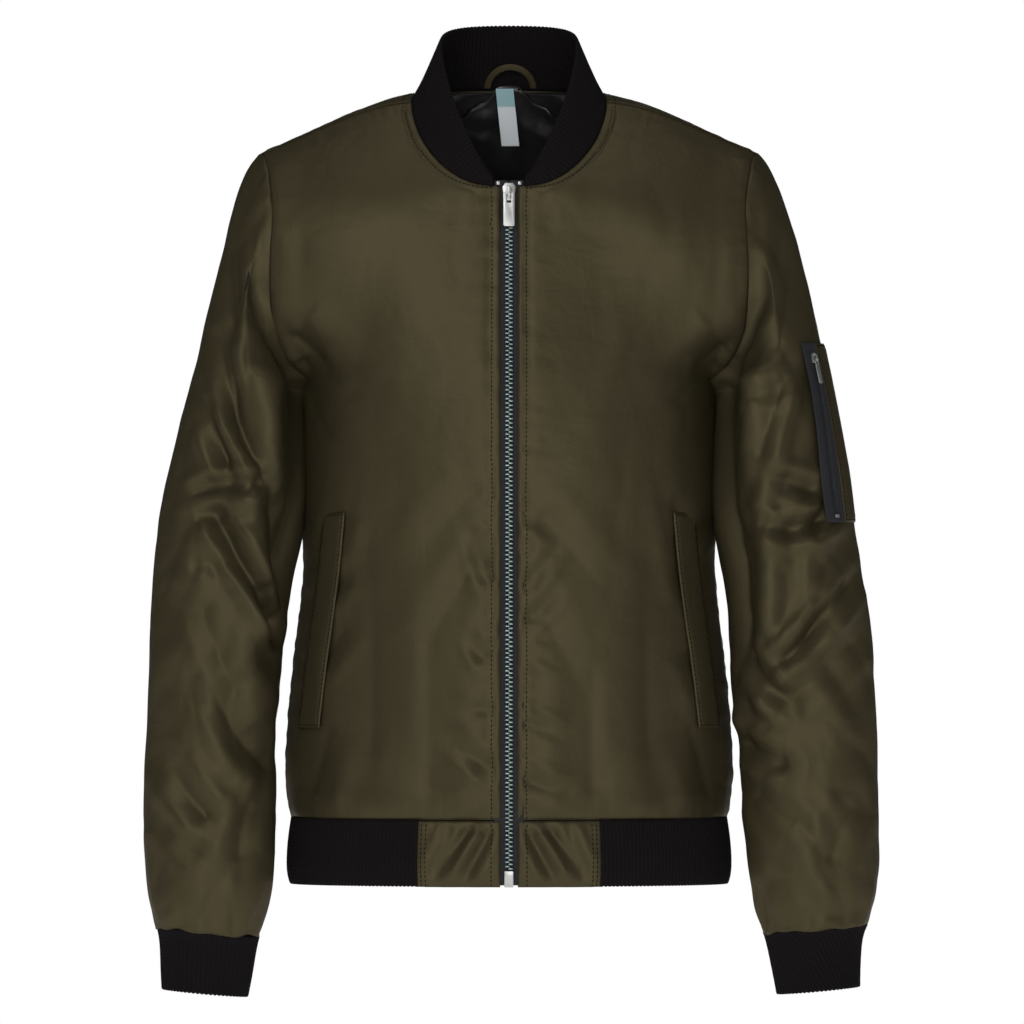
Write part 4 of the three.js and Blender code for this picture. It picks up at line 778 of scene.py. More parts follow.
BACK_FOLDS = (
    (BACK, (-174, -172), (-140, -200), (-96, -236), 16, 3.2, (0.9, 0.2)),
    (BACK, (-166, -196), (-142, -232), (-118, -284), 15, 2.6, (0.9, 0.2)),
    (BACK, (174, -166), (142, -192), (100, -230), 16, 3.2, (0.9, 0.2)),
    (BACK, (168, -192), (146, -230), (124, -292), 15, 2.6, (0.9, 0.2)),
    (BACK, (-60, -60), (-30, -74), (6, -76), 20, 1.4, (0.3, 0.5)),
    (BACK, (-90, -420), (-30, -404), (60, -414), 24, 2.2, (0.3, 0.3)),
    (BACK, (-40, -456), (30, -446), (104, -462), 22, 1.8, (0.3, 0.3)),
    (BACK, (-118, -430), (-108, -490), (-112, -550), 20, 1.8, (0.2, 1.0)),
    (BACK, (-52, -470), (-46, -510), (-50, -552), 18, 1.5, (0.2, 1.0)),
    (BACK, (8, -480), (4, -520), (8, -552), 17, 1.4, (0.2, 1.0)),
    (BACK, (62, -462), (58, -508), (62, -552), 19, 1.6, (0.2, 1.0)),
    (BACK, (120, -436), (112, -494), (116, -550), 20, 1.8, (0.2, 1.0)),
)
LINING_FOLDS = (
    (BACK, (-46, -6), (-34, -10), (-16, -18), 8, 1.6, (0.5, 0.8)),
    (BACK, (16, 4), (30, 0), (47, -10), 8, 1.6, (0.8, 0.5)),
    (BACK, (-34, -26), (-24, -30), (-16, -34), 7, 1.4, (0.6, 0.6)),
    (BACK, (8, -20), (22, -30), (40, -34), 8, 1.2, (0.6, 0.6)),
)

# The section of a fold, in widths off its line: a trough between two soft ridges
FOLD_STEPS = 10
TROUGH_FALL = 1.5
TROUGH_POWER = 1.1
RIDGE_SHARE = 0.5
RIDGE_PLACE = 1.6
RIDGE_WIDTH = 0.7
FOLD_END = 0.12
FOLD_END_SHARE = 0.35
DEEPEST_FOLD = 16 * MM
NORMAL_ROUNDS = 10
RELAX_ROUNDS = 1


def fold_depth(points, out, folds):
    """How deep the folds press each point in. A trough has a soft ridge along each side."""
    depth = np.zeros(len(points))
    seen = points[:, [0, 2]] / MM
    for side, start, middle, end, width, deep, (first, last) in folds:
        facing = np.clip((out[:, 1] * side + 0.15) / 0.6, 0, 1)
        ends = [np.array(place, float) for place in (start, middle, end)]
        turns = np.linspace(0, 1, FOLD_STEPS + 1)[:, None]
        line = (1 - turns) ** 2 * ends[0] + 2 * turns * (1 - turns) * ends[1] + turns**2 * ends[2]
        nearest = np.full(len(points), np.inf)
        share = np.zeros(len(points))
        for step in range(FOLD_STEPS):
            along = line[step + 1] - line[step]
            at = np.clip(((seen - line[step]) @ along) / (along @ along), 0, 1)
            away = np.linalg.norm(seen - line[step] - at[:, None] * along, axis=1)
            closer = away < nearest
            nearest = np.where(closer, away, nearest)
            share = np.where(closer, (step + at) / FOLD_STEPS, share)
        off = nearest / width
        ridge = RIDGE_SHARE * np.exp(-(((off - RIDGE_PLACE) / RIDGE_WIDTH) ** 2))
        profile = np.exp(-TROUGH_FALL * off**TROUGH_POWER) - ridge
        inside = ease(share, 0, FOLD_END) * ease(1 - share, 0, FOLD_END)
        strength = (first + (last - first) * share) * blend(FOLD_END_SHARE, inside)
        depth += deep * MM * facing * strength * profile
    return DEEPEST_FOLD * np.tanh(depth / DEEPEST_FOLD)


def ease(values, low, high):
    t = np.clip((values - low) / (high - low), 0, 1)
    return t * t * (3 - 2 * t)


def blend(least, share):
    """A factor that grows from its least value to one."""
    return least + (1 - least) * share


def noise_at(points, size, shift):
    """Smooth noise from -1 to 1 with features of about the given sizes."""
    scaled = points / np.array(size) + shift
    return np.array([noise.noise(Vector(place)) for place in scaled])


def sharp_noise_at(points, size, shift):
    """Smooth noise that meets in sharp ridges, as crumpled nylon does."""
    return 1 - 2.4 * np.abs(noise_at(points, size, shift))


def evened(mesh, values, rounds):
    """Averages values with those next to them, a few times over."""
    ends = np.zeros(len(mesh.edges) * 2, int)
    mesh.edges.foreach_get("vertices", ends)
    first, second = ends.reshape(-1, 2).T
    count = np.bincount(ends, minlength=len(values))
    for _ in range(rounds):
        around_first = np.bincount(first, values[second], len(values))
        around_second = np.bincount(second, values[first], len(values))
        values = (values + (around_first + around_second) / count) / 2
    return values


def rim_distance(mesh, points):
    """How far each point lies from the sheet's rim, and the nearest place on the rim."""
    uses = np.zeros(len(mesh.edges), int)
    for polygon in mesh.polygons:
        for key in polygon.loop_indices:
            uses[mesh.loops[key].edge_index] += 1
    rim = {v for edge in mesh.edges if uses[edge.index] == 1 for v in edge.vertices}
    tree = KDTree(len(rim))
    for place in rim:
        tree.insert(points[place], place)
    tree.balance()
    found = [tree.find(place) for place in points]
    return np.array([f[2] for f in found]), np.array([f[0] for f in found])


SEAM_ROLL = 1.1 * MM
SEAM_ROLL_WIDTH = 4.5 * MM
PUCKER_HEIGHT = 0.8 * MM
PUCKER_REACH = 13 * MM
PUCKER_SIZE = 11 * MM
PUCKER_START = 3 * MM
PUCKER_SHIFT = 21.3
IRONING_REACH = 30 * MM
FREE_OF_RIM = 12 * MM
FOLD_AT_RIM = 0.12

# The crumples: broad and small ridges on points that wander a little
WANDER = 9 * MM
WANDER_SIZE = 40 * MM
WANDER_SHIFT = 50
BROAD_SIZE = (48 * MM, 60 * MM, 120 * MM)
BROAD_SHIFT = 3.1
SMALL_SIZE = (22 * MM, 30 * MM, 55 * MM)
SMALL_SHIFT = 9.7
SMALL_SHARE = 0.4
CRUMPLE_AT_SIDES = 0.35


def shape_cloth(
    piece, folds=(), crumple=1.0, pucker=1.0, extra=None, shift=0.0, slant=0.0, hang=None, ironing=0
):
    """Presses folds into a sheet, rolls its edges into the seams and puckers it beside them. The
    crumples run up and down, leaning by the slant. Ironing evens the sheet out beforehand, extra
    gives more depth and hang moves the finished points."""
    settings = bpy.context.scene.jacket_shell
    mesh = piece.data
    count = len(mesh.vertices)
    points = np.zeros(count * 3)
    mesh.vertices.foreach_get("co", points)
    points = points.reshape(-1, 3)
    if ironing:
        away, _ = rim_distance(mesh, points)
        ironed = np.stack([evened(mesh, part, ironing) for part in points.T], 1)
        points = points + (ironed - points) * ease(away, 0, IRONING_REACH)[:, None]
        mesh.vertices.foreach_set("co", points.ravel())
        mesh.update()
    out = np.zeros(count * 3, np.float32)
    mesh.vertex_normals.foreach_get("vector", out)
    out = out.reshape(-1, 3).astype(float)
    out = np.stack([evened(mesh, part, NORMAL_ROUNDS) for part in out.T], 1)
    out /= np.linalg.norm(out, axis=1, keepdims=True)
    away, seam = rim_distance(mesh, points)
    free = ease(away, 0, FREE_OF_RIM)
    depth = fold_depth(points, out, folds) * settings.fold_strength * blend(FOLD_AT_RIM, free)
    wander = [noise_at(points, (WANDER_SIZE,) * 3, WANDER_SHIFT + shift + way) for way in range(3)]
    bent = points + WANDER * np.stack(wander, 1)
    cos, sin = math.cos(slant), math.sin(slant)
    across = bent[:, 0] * cos - bent[:, 2] * sin
    upright = bent[:, 0] * sin + bent[:, 2] * cos
    bent = np.stack([across, bent[:, 1], upright], 1)
    broad = sharp_noise_at(bent, BROAD_SIZE, BROAD_SHIFT + shift)
    small = sharp_noise_at(bent, SMALL_SIZE, SMALL_SHIFT + shift)
    facing = blend(CRUMPLE_AT_SIDES, ease(np.abs(out[:, 1]), 0.2, 0.75))
    depth += settings.crumple * crumple * facing * (broad + SMALL_SHARE * small) * free
    ripple = sharp_noise_at(seam, (PUCKER_SIZE,) * 3, PUCKER_SHIFT + shift)
    by_seam = np.exp(-away / PUCKER_REACH) * ease(away, 0, PUCKER_START)
    depth += PUCKER_HEIGHT * pucker * ripple * by_seam
    depth += SEAM_ROLL * (1 - ease(away, 0, SEAM_ROLL_WIDTH))
    if extra is not None:
        depth += extra(points, out, away, seam)
    moved = points - out * depth[:, None]
    relaxed = np.stack([evened(mesh, part, RELAX_ROUNDS) for part in moved.T], 1)
    moved += (relaxed - moved) * ease(away, 1 * MM, 8 * MM)[:, None]
    if hang is not None:
        moved += hang(points, out, away, seam)
    mesh.vertices.foreach_set("co", moved.ravel())
    mesh.update()


def thicken(piece, wall, lining="lining"):
    """Gives a sheet its thickness, with the lining's finish on its inner side."""
    piece.data.materials.append(finish_of(lining))
    solid = piece.modifiers.new("wall", "SOLIDIFY")
    solid.thickness = wall
    solid.offset = -1.0
    solid.material_offset = 1


HOLLOW_BODY = (0, 0, -300)
HOLLOW_SLEEVES = {"left": (222, -25, -380), "right": (-222, -25, -380)}


def gathers(bottom, reach, height, size, shift):
    """Uneven upright gathers above a seam, as a depth to add to a sheet."""
    drawn_out = np.array([1.0, 1.0, 0.16])
    start = 4 * MM

    def extra(points, out, away, seam):
        above = np.clip(points[:, 2] - bottom * MM, 0, None)
        waves = sharp_noise_at(points * drawn_out, (size * MM,) * 3, shift)
        return height * MM * waves * np.exp(-above / (reach * MM)) * ease(away, 0, start)

    return extra


def overhang(bottom, drop, shift):
    """Lets the lower edge of a sheet puff out and hang unevenly over the cuff."""
    edge_top = (bottom + 45) * MM
    reach = 16 * MM
    wave_size = 13 * MM
    drawn_out = np.array([1.0, 1.0, 0.1])
    upwards = np.array([0, 0, 1.0])

    def hang(points, out, away, seam):
        low = (seam[:, 2] < edge_top) * (1 - ease(away, 0, reach))
        waves = noise_at(points * drawn_out, (wave_size,) * 3, shift)
        fall = drop * MM * (0.55 * waves + 0.2) * low
        puff = low * (1.1 + 0.8 * waves) * MM
        flat = np.stack([out[:, 0], out[:, 1], np.zeros(len(out))], 1)
        return flat * puff[:, None] - fall[:, None] * upwards

    return hang


def tucked_in(way):
    """Carries the upper edge of a sleeve on, in under the armhole's edge."""
    armhole_foot = -232 * MM
    below_shoulder = (70 * MM, 130 * MM)
    reach = 12 * MM
    sideways = np.array([-way * 5.0 * MM, 0, -0.5 * MM])
    sink = 0.5

    def hang(points, out, away, seam):
        at_armhole = (seam[:, 2] > armhole_foot) * (1 - ease(away, 0, reach))
        rim = at_armhole * ease(-seam[:, 2], *below_shoulder)
        return rim[:, None] * (sideways - out * sink * MM)

    return hang


def filled_underarm(facing, lift):
    """Fills a sheet out below the armhole, where the sleeve and the side lie together."""
    top = (205 * MM, 226 * MM)
    foot = (312 * MM, 380 * MM)

    def extra(points, out, away, seam):
        down = -points[:, 2]
        height = ease(down, *top) * (1 - ease(down, *foot))
        return -lift * MM * height * ease(out[:, 0] * facing, 0.4, 0.9)

    return extra


STITCH_INSET = 7 * MM


def zip_edge(shift):
    """The furrow of the topstitching by the zip and the neck, and slanting puckers beside it."""
    furrow_depth = 1.5 * MM
    furrow_width = 1.5 * MM
    pucker_height = 2.1 * MM
    pucker_size = 11 * MM
    pucker_reach = 20 * MM
    pucker_start = 5 * MM
    lower_front = (0.24, 0.32)
    upper_share = 0.3

    def extra(points, out, away, seam):
        by_zip = np.abs(seam[:, 0]) < 8 * MM
        by_neck = (np.abs(seam[:, 0]) < 77 * MM) & (seam[:, 2] > -75 * MM)
        off_stitches = (away - STITCH_INSET) / furrow_width
        furrow = furrow_depth * np.exp(-(off_stitches**2)) * (by_zip | by_neck)
        across = np.abs(points[:, 0]) - STITCH_INSET
        slanted = np.stack([points[:, 0] * 0.3, points[:, 0] * 0, points[:, 2] + 0.5 * across], 1)
        low = blend(upper_share, ease(-points[:, 2], *lower_front))
        waves = sharp_noise_at(slanted, (pucker_size,) * 3, shift)
        near = np.exp(-((across / pucker_reach) ** 2)) * ease(away, 0, pucker_start)
        return furrow + pucker_height * waves * low * near

    return extra


def together(*parts):
    return lambda points, out, away, seam: sum(part(points, out, away, seam) for part in parts)


class JACKET_OT_fronts(bpy.types.Operator):
    """Cuts the two front panels and presses their folds"""

    bl_idname = "jacket.fronts"
    bl_label = "Front panels"

    def execute(self, context):
        settings = context.scene.jacket_shell
        for side, way in SIDES.items():
            node = f"front_{side}"
            strips = read_strips(node, (way * 6.8, -117, HEM_SEAM), (way * 171, 0, HEM_SEAM))
            coarse = grid_of(strips)
            corners = tuple(sorted({sharpest_row(coarse[:, 0]), sharpest_row(coarse[:, -1])}))
            grid = finer_grid(coarse, settings.cell, corners=corners)
            grids[node] = grid
            piece = woven_piece(f"shell_front_{side}", grid, "nylon", HOLLOW_BODY)
            gathered = gathers(HEM_SEAM, 34, 0.8, 34, 5.5 + way)
            more = together(gathered, filled_underarm(way, 5.0), zip_edge(8.0 + way))
            shape_cloth(
                piece, FRONT_FOLDS, crumple=0.65, pucker=1.1, extra=more, shift=way * 2.0, ironing=260
            )
            thicken(piece, settings.wall)
            settle(piece, "garment", "shell", node)
        return {"FINISHED"}


def back_half(strips, other):
    """A finer grid of half the back, smooth across the middle up to the neck. Columns run from the
    middle to the side."""
    cell = bpy.context.scene.jacket_shell.cell
    grid = grid_of(strips)
    beyond = 2 * grid[:, 0] - grid[:, 1]
    beyond[: BACK_OPEN_ROW + 1] = grid_of(other)[: BACK_OPEN_ROW + 1, 1]
    ghosted = np.concatenate([beyond[:, None], grid], 1)
    rows = even_places(mean_steps(grid, 0), cell)
    columns = even_places(mean_steps(grid, 1), cell) + 1
    by_row = smooth_weights(ghosted.shape[0], rows, False, (sharpest_row(grid[:, -1]),))
    by_column = smooth_weights(ghosted.shape[1], columns)
    fine = np.einsum("ri,cj,ijk->rck", by_row, by_column, ghosted)
    meeting = rows <= BACK_OPEN_ROW
    fine[meeting, 0, 0] = 0.0
    return fine


class JACKET_OT_back(bpy.types.Operator):
    """Cuts the back panel, in one piece round the neck"""

    bl_idname = "jacket.back"
    bl_label = "Back panel"

    def execute(self, context):
        settings = context.scene.jacket_shell
        strips = read_strips("back", (171, 0, HEM_SEAM), (-171, 0, HEM_SEAM))
        half = len(strips) // 2
        left = [[(b, a) for a, b in strip] for strip in strips[:half][::-1]]
        right = strips[half:]
        bm = bmesh.new()
        for side, own, other in (("left", left, right), ("right", right, left)):
            grids[f"back_{side}"] = back_half(own, other)
            weave_grid(bm, grids[f"back_{side}"])
        bmesh.ops.remove_doubles(bm, verts=bm.verts, dist=MERGE_DISTANCE)
        bmesh.ops.recalc_face_normals(bm, faces=bm.faces)
        piece = new_piece("shell_back", bm, "nylon", HOLLOW_BODY)
        sides = (filled_underarm(1, 5.0), filled_underarm(-1, 5.0))
        more = together(gathers(HEM_SEAM, 34, 0.9, 32, 41.5), *sides)
        shape_cloth(piece, BACK_FOLDS, crumple=1.3, pucker=1.1, extra=more, shift=7.0, ironing=60)
        thicken(piece, settings.wall)
        settle(piece, "garment", "shell", "back")
        return {"FINISHED"}


class JACKET_OT_sleeves(bpy.types.Operator):
    """Cuts the sleeves, presses their folds and gathers them above the cuffs"""

    bl_idname = "jacket.sleeves"
    bl_label = "Sleeves"

    def execute(self, context):
        settings = context.scene.jacket_shell
        tables = {"left": SLEEVE_LEFT_FOLDS, "right": SLEEVE_RIGHT_FOLDS}
        for side, way in SIDES.items():
            node = f"sleeve_{side}"
            low = CUFF_SEAMS[side]
            strips = read_strips(node, (way * 192, -14, -43), (way * 190, -40, -53), closed=True)
            grid = finer_grid(grid_of(strips, True), settings.cell, True)
            piece = woven_piece(f"shell_sleeve_{side}", grid, "nylon", HOLLOW_SLEEVES[side], True)
            more = together(gathers(low, 24, 2.6, 19, 61.5 + way), filled_underarm(-way, 8.5))
            shape_cloth(
                piece, tables[side], crumple=2.6, pucker=1.4, extra=more, shift=20.0 + way,
                slant=-way * 0.62, hang=together(overhang(low, 4.2, 71.5 + way), tucked_in(way)),
            )
            thicken(piece, settings.wall)
            settle(piece, "garment", "shell", node)
        return {"FINISHED"}


class JACKET_OT_hem_tabs(bpy.types.Operator):
    """Makes the plain nylon tabs at the front of the hem band"""

    bl_idname = "jacket.hem_tabs"
    bl_label = "Hem tabs"

    def execute(self, context):
        settings = context.scene.jacket_shell
        for side, way in SIDES.items():
            node = f"hem_tab_{side}"
            strips = read_strips(node, (way * 6.8, -117, -614), (way * 71, -107, -614))
            grid = finer_grid(grid_of(strips), 2.2 * MM)
            grids[node] = grid
            piece = woven_piece(f"shell_hem_tab_{side}", grid, "nylon", HOLLOW_BODY)
            folds = (
                (FRONT, (way * 28, -564), (way * 42, -580), (way * 60, -610), 6, 4.2, (0.9, 0.6)),
                (FRONT, (way * 44, -564), (way * 52, -584), (way * 64, -602), 5, 3.0, (0.9, 0.6)),
                (FRONT, (way * 13, -566), (way * 24, -586), (way * 36, -611), 6, 3.4, (0.8, 0.7)),
            )
            shape_cloth(piece, folds, crumple=0.5, pucker=0.7, shift=way * 3.0, hang=self.under_rib)
            thicken(piece, settings.wall, "nylon")
            settle(piece, "garment", "shell", node)
        return {"FINISHED"}

    def under_rib(self, points, out, away, seam):
        """Carries the outer edge on, in under the end of the rib."""
        rib_end = 64 * MM
        reach = 5 * MM
        overlap = 1.8
        sink = 0.6
        by_rib = (np.abs(seam[:, 0]) > rib_end) * (1 - ease(away, 0, reach))
        level = np.zeros(len(points))
        sideways = np.stack([np.sign(points[:, 0]), level, level], 1)
        return by_rib[:, None] * (sideways * overlap * MM - out * sink * MM)


# Ribbed bands, as walls whose rows run up the outside, round the free edge and down the inside
RIB_SAMPLES = 8
RIB_ROUNDNESS = 0.65
COLLAR_LIFT = 2.8 * MM
TURN_ROWS = 4
DEPTH_WHEN_SEWN = 0.45
FULL_DEPTH_FROM_SEAM = 5 * MM
DEPTH_INSIDE = 0.8
DEPTH_AT_TURN = 0.9


def rib_wave(length, pitch):
    """Height of the knit along its surface: round ribs with narrow furrows, from -1 to 0."""
    return np.abs(np.sin(math.pi * length / pitch)) ** RIB_ROUNDNESS - 1


def ribbed_band(bm, base, pitch, cell, closed, flip, lift):
    """Adds a ribbed wall on a base grid whose rows run from the sewn edge to the free one, which
    is lifted a little."""
    settings = bpy.context.scene.jacket_ribs
    steps = mean_steps(base, 1, closed)
    total = steps.sum()
    ribs = round(total / pitch)
    lengths = np.concatenate([[0], np.cumsum(steps)])
    count = ribs * RIB_SAMPLES + (0 if closed else 1)
    at = np.arange(count) * total / (ribs * RIB_SAMPLES)
    columns = np.interp(at, lengths, np.arange(len(lengths)))
    rows = even_places(mean_steps(base, 0), cell)
    by_row = smooth_weights(base.shape[0], rows)
    by_column = smooth_weights(base.shape[1], columns, closed)
    plain = np.einsum("ri,cj,ijk->rck", by_row, by_column, base)
    plain[:, :, 2] += lift * ease(np.linspace(0, 1, len(rows)), 0.1, 1.0)[:, None]
    out = outward(plain, closed) * (-1 if flip else 1)
    run = mean_steps(plain, 0)
    from_sewn = np.concatenate([[0], np.cumsum(run)])
    free = from_sewn[-1] - from_sewn
    along = np.gradient(plain, axis=0)
    along /= np.linalg.norm(along, axis=2, keepdims=True)
    wave = rib_wave(at, total / ribs)[None, :, None]
    half = settings.wall / 2
    deepening = blend(DEPTH_WHEN_SEWN, ease(from_sewn, 0, FULL_DEPTH_FROM_SEAM))
    depth = settings.depth * deepening[:, None, None]
    pulled = np.clip(half - free, 0, None)[:, None, None]
    outer = plain + out * (settings.wall + depth * wave) - along * pulled
    inner = plain - out * depth * wave * DEPTH_INSIDE - along * pulled
    last, tip, side = plain[-1], out[-1], along[-1]
    middle = last + tip * half - side * half
    turn_rows = []
    for step in range(1, TURN_ROWS):
        angle = math.pi * step / TURN_ROWS
        reach = half + settings.depth * wave[0] * DEPTH_AT_TURN
        turn_rows.append(middle + tip * reach * math.cos(angle) + side * reach * math.sin(angle))
    section = np.concatenate([outer, np.array(turn_rows), inner[::-1]], 0)
    weave_grid(bm, section, closed=closed, loop=True)
    if not closed:
        bmesh.ops.remove_doubles(bm, verts=bm.verts, dist=MERGE_DISTANCE)
        ends = [edge for edge in bm.edges if edge.is_boundary]
        bmesh.ops.holes_fill(bm, edges=ends, sides=0)
    bmesh.ops.recalc_face_normals(bm, faces=bm.faces)
    return plain


class JACKET_OT_ribs(bpy.types.Operator):
    """Knits the collar, the cuffs and the hem band"""

    bl_idname = "jacket.ribs"
    bl_label = "Rib knit"

    def execute(self, context):
        settings = context.scene.jacket_ribs
        cell = 2.6 * MM
        hem_cell = 3.4 * MM
        places = ((10, -73, -70), (-10, -73, -70))
        self.band("collar", *places, settings.cuff_pitch, cell, False, (0.47, 0.055))
        places = ((71, -106, HEM_SEAM), (-71, -106, HEM_SEAM))
        self.band("hem_rib", *places, settings.hem_pitch, hem_cell, False, (0.83, 0.054))
        for side, way in SIDES.items():
            places = ((way * 238, 0, -648), (way * 252, -4, -648))
            self.band(f"cuff_{side}", *places, settings.cuff_pitch, cell, True, (0.235, 0.052))
        return {"FINISHED"}

    def band(self, node, start, finish, pitch, cell, closed, flat):
        base = grid_of(read_strips(node, start, finish, closed, inner=True), closed)
        middle = base.reshape(-1, 3).mean(0)
        facing = (outward(base, closed) * (base - middle)).sum()
        bm = bmesh.new()
        lift = COLLAR_LIFT if node == "collar" else 0.0
        grids[node] = ribbed_band(bm, base, pitch, cell, closed, facing < 0, lift)
        piece = new_piece(f"knit_{node}", bm, "knit")
        settle(piece, "garment", "rib", node)


class JACKET_OT_linings(bpy.types.Operator):
    """Hangs the lining that shows inside the back of the neck"""

    bl_idname = "jacket.linings"
    bl_label = "Lining"

    def execute(self, context):
        strips = read_strips("lining_back", (106, 90, -167), (-106, 90, -167))
        grid = finer_grid(grid_of(strips), 3 * MM)
        piece = woven_piece("satin_lining_back", grid, "lining", HOLLOW_BODY)
        shape_cloth(piece, LINING_FOLDS, crumple=1.0, pucker=0.5, shift=33.0, hang=self.tucked_up)
        thicken(piece, LINING_WALL)
        settle(piece, "garment", "lining", "lining_back")
        return {"FINISHED"}

    def tucked_up(self, points, out, away, seam):
        """Carries the upper edge on, up behind the neck seam."""
        neck_depth = -12 * MM
        half_neck = 70 * MM
        reach = 14 * MM
        by_label = (8 * MM, 20 * MM)
        side_rise = 3.5
        label_rise = 9.5
        across = np.abs(seam[:, 0])
        by_neck = (seam[:, 2] > neck_depth) & (across < half_neck)
        rise = side_rise + label_rise * (1 - ease(across, *by_label))
        lift = by_neck * (1 - ease(away, 0, reach)) * rise
        return lift[:, None] * np.array([0, -0.3 * MM, 1.0 * MM])


class JACKET_OT_pockets(bpy.types.Operator):
    """Makes the side pockets' welts, the sleeve pocket and its tape"""

    bl_idname = "jacket.pockets"
    bl_label = "Pockets"

    def execute(self, context):
        for side, way in SIDES.items():
            node = f"pocket_welt_{side}"
            places = ((way * 147, -76, -491), (way * 165, -48, -488))
            piece = self.patch(node, *places, 2.0, "nylon", HOLLOW_BODY)
            shape_cloth(piece, crumple=0.45, pucker=0.5, shift=way * 4.0)
            thicken(piece, PATCH_WALL, "nylon")
            settle(piece, "garment", "shell", node)
        hollow = HOLLOW_SLEEVES["left"]
        piece = self.patch("sleeve_pocket", (262, -60, -332), (262, 14, -332), 2.4, "nylon", hollow)
        folds = ((FRONT, (262, -230), (258, -262), (262, -292), 12, 1.0, (0.5, 0.5)),)
        shape_cloth(piece, folds, crumple=0.6, pucker=0.7, shift=12.0)
        thicken(piece, PATCH_WALL, "nylon")
        settle(piece, "garment", "shell", "sleeve_pocket")
        piece = self.patch("pocket_tape", (244, -78, -332), (258, -60, -332), 1.6, "tape", hollow)
        thicken(piece, TAPE_WALL, "tape")
        settle(piece, "garment", "tape", "pocket_tape")
        return {"FINISHED"}

    def patch(self, node, start, finish, cell, kind, hollow):
        grid = finer_grid(grid_of(read_strips(node, start, finish)), cell * MM)
        grids[node] = grid
        return woven_piece(f"cloth_{node}", grid, kind, hollow)


class JACKET_OT_neck_trims(bpy.types.Operator):
    """Makes the hanger loop and the blank label"""

    bl_idname = "jacket.neck_trims"
    bl_label = "Neck trims"

    def execute(self, context):
        loop_row = ((-17, 52, 9), (-12, 52, 9))
        label_row = ((-10, 56, 8), (3, 56, 8))
        # The loop's strap is folded double, so its own area is half of its cut's
        trims = (
            ("hanger_loop", loop_row, "nylon", "shell", 1.4, (0.0116, 0.062, 0.00036)),
            ("neck_label", label_row, "ribbon", "label", 0.7, (0.0145, 0.046)),
        )
        for node, places, kind, slot, wall, flat in trims:
            grid = finer_grid(grid_of(read_strips(node, *places)), 1.2 * MM)
            bm = bmesh.new()
            weave_grid(bm, grid)
            bmesh.ops.recalc_face_normals(bm, faces=bm.faces)
            piece = new_piece(f"trim_{node}", bm, kind)
            solid = piece.modifiers.new("wall", "SOLIDIFY")
            solid.thickness = wall * MM
            solid.offset = 0.0
            edge = piece.modifiers.new("edge", "BEVEL")
            edge.width = 0.25 * MM
            edge.segments = 2
            settle(piece, "garment", slot, node)
        return {"FINISHED"}


# Zips
def zip_path():
    """The middle line of the front from the hem up."""
    lower = grids["hem_tab_left"][:, 0]
    upper = grids["front_left"][:, 0]
    line = np.concatenate([lower[:-1], upper])
    line[:, 0] = 0
    return line


def place_along(line, at):
    """The place on a line at a length from its start, and its direction there."""
    steps = np.linalg.norm(np.diff(line, axis=0), axis=1)
    lengths = np.concatenate([[0], np.cumsum(steps)])
    spot = np.array([np.interp(at, lengths, line[:, axis]) for axis in range(3)])
    ahead = np.array([np.interp(at + MM, lengths, line[:, axis]) for axis in range(3)])
    back = np.array([np.interp(at - MM, lengths, line[:, axis]) for axis in range(3)])
    return Vector(spot), Vector(ahead - back).normalized()


def turned_to(place, across, up):
    """A matrix whose X runs across and Z runs up, so that -Y looks out."""
    out = across.cross(up).normalized()
    across = up.cross(out).normalized()
    axes = Matrix((across, up.cross(across), up)).transposed()
    return Matrix.Translation(place) @ axes.to_4x4()


# A tooth's place off the middle as a share of its width, its height and bevel as shares of the pitch
TOOTH_PLACE = 0.36
TOOTH_SHARE = 0.43
TOOTH_BEVEL = 0.09


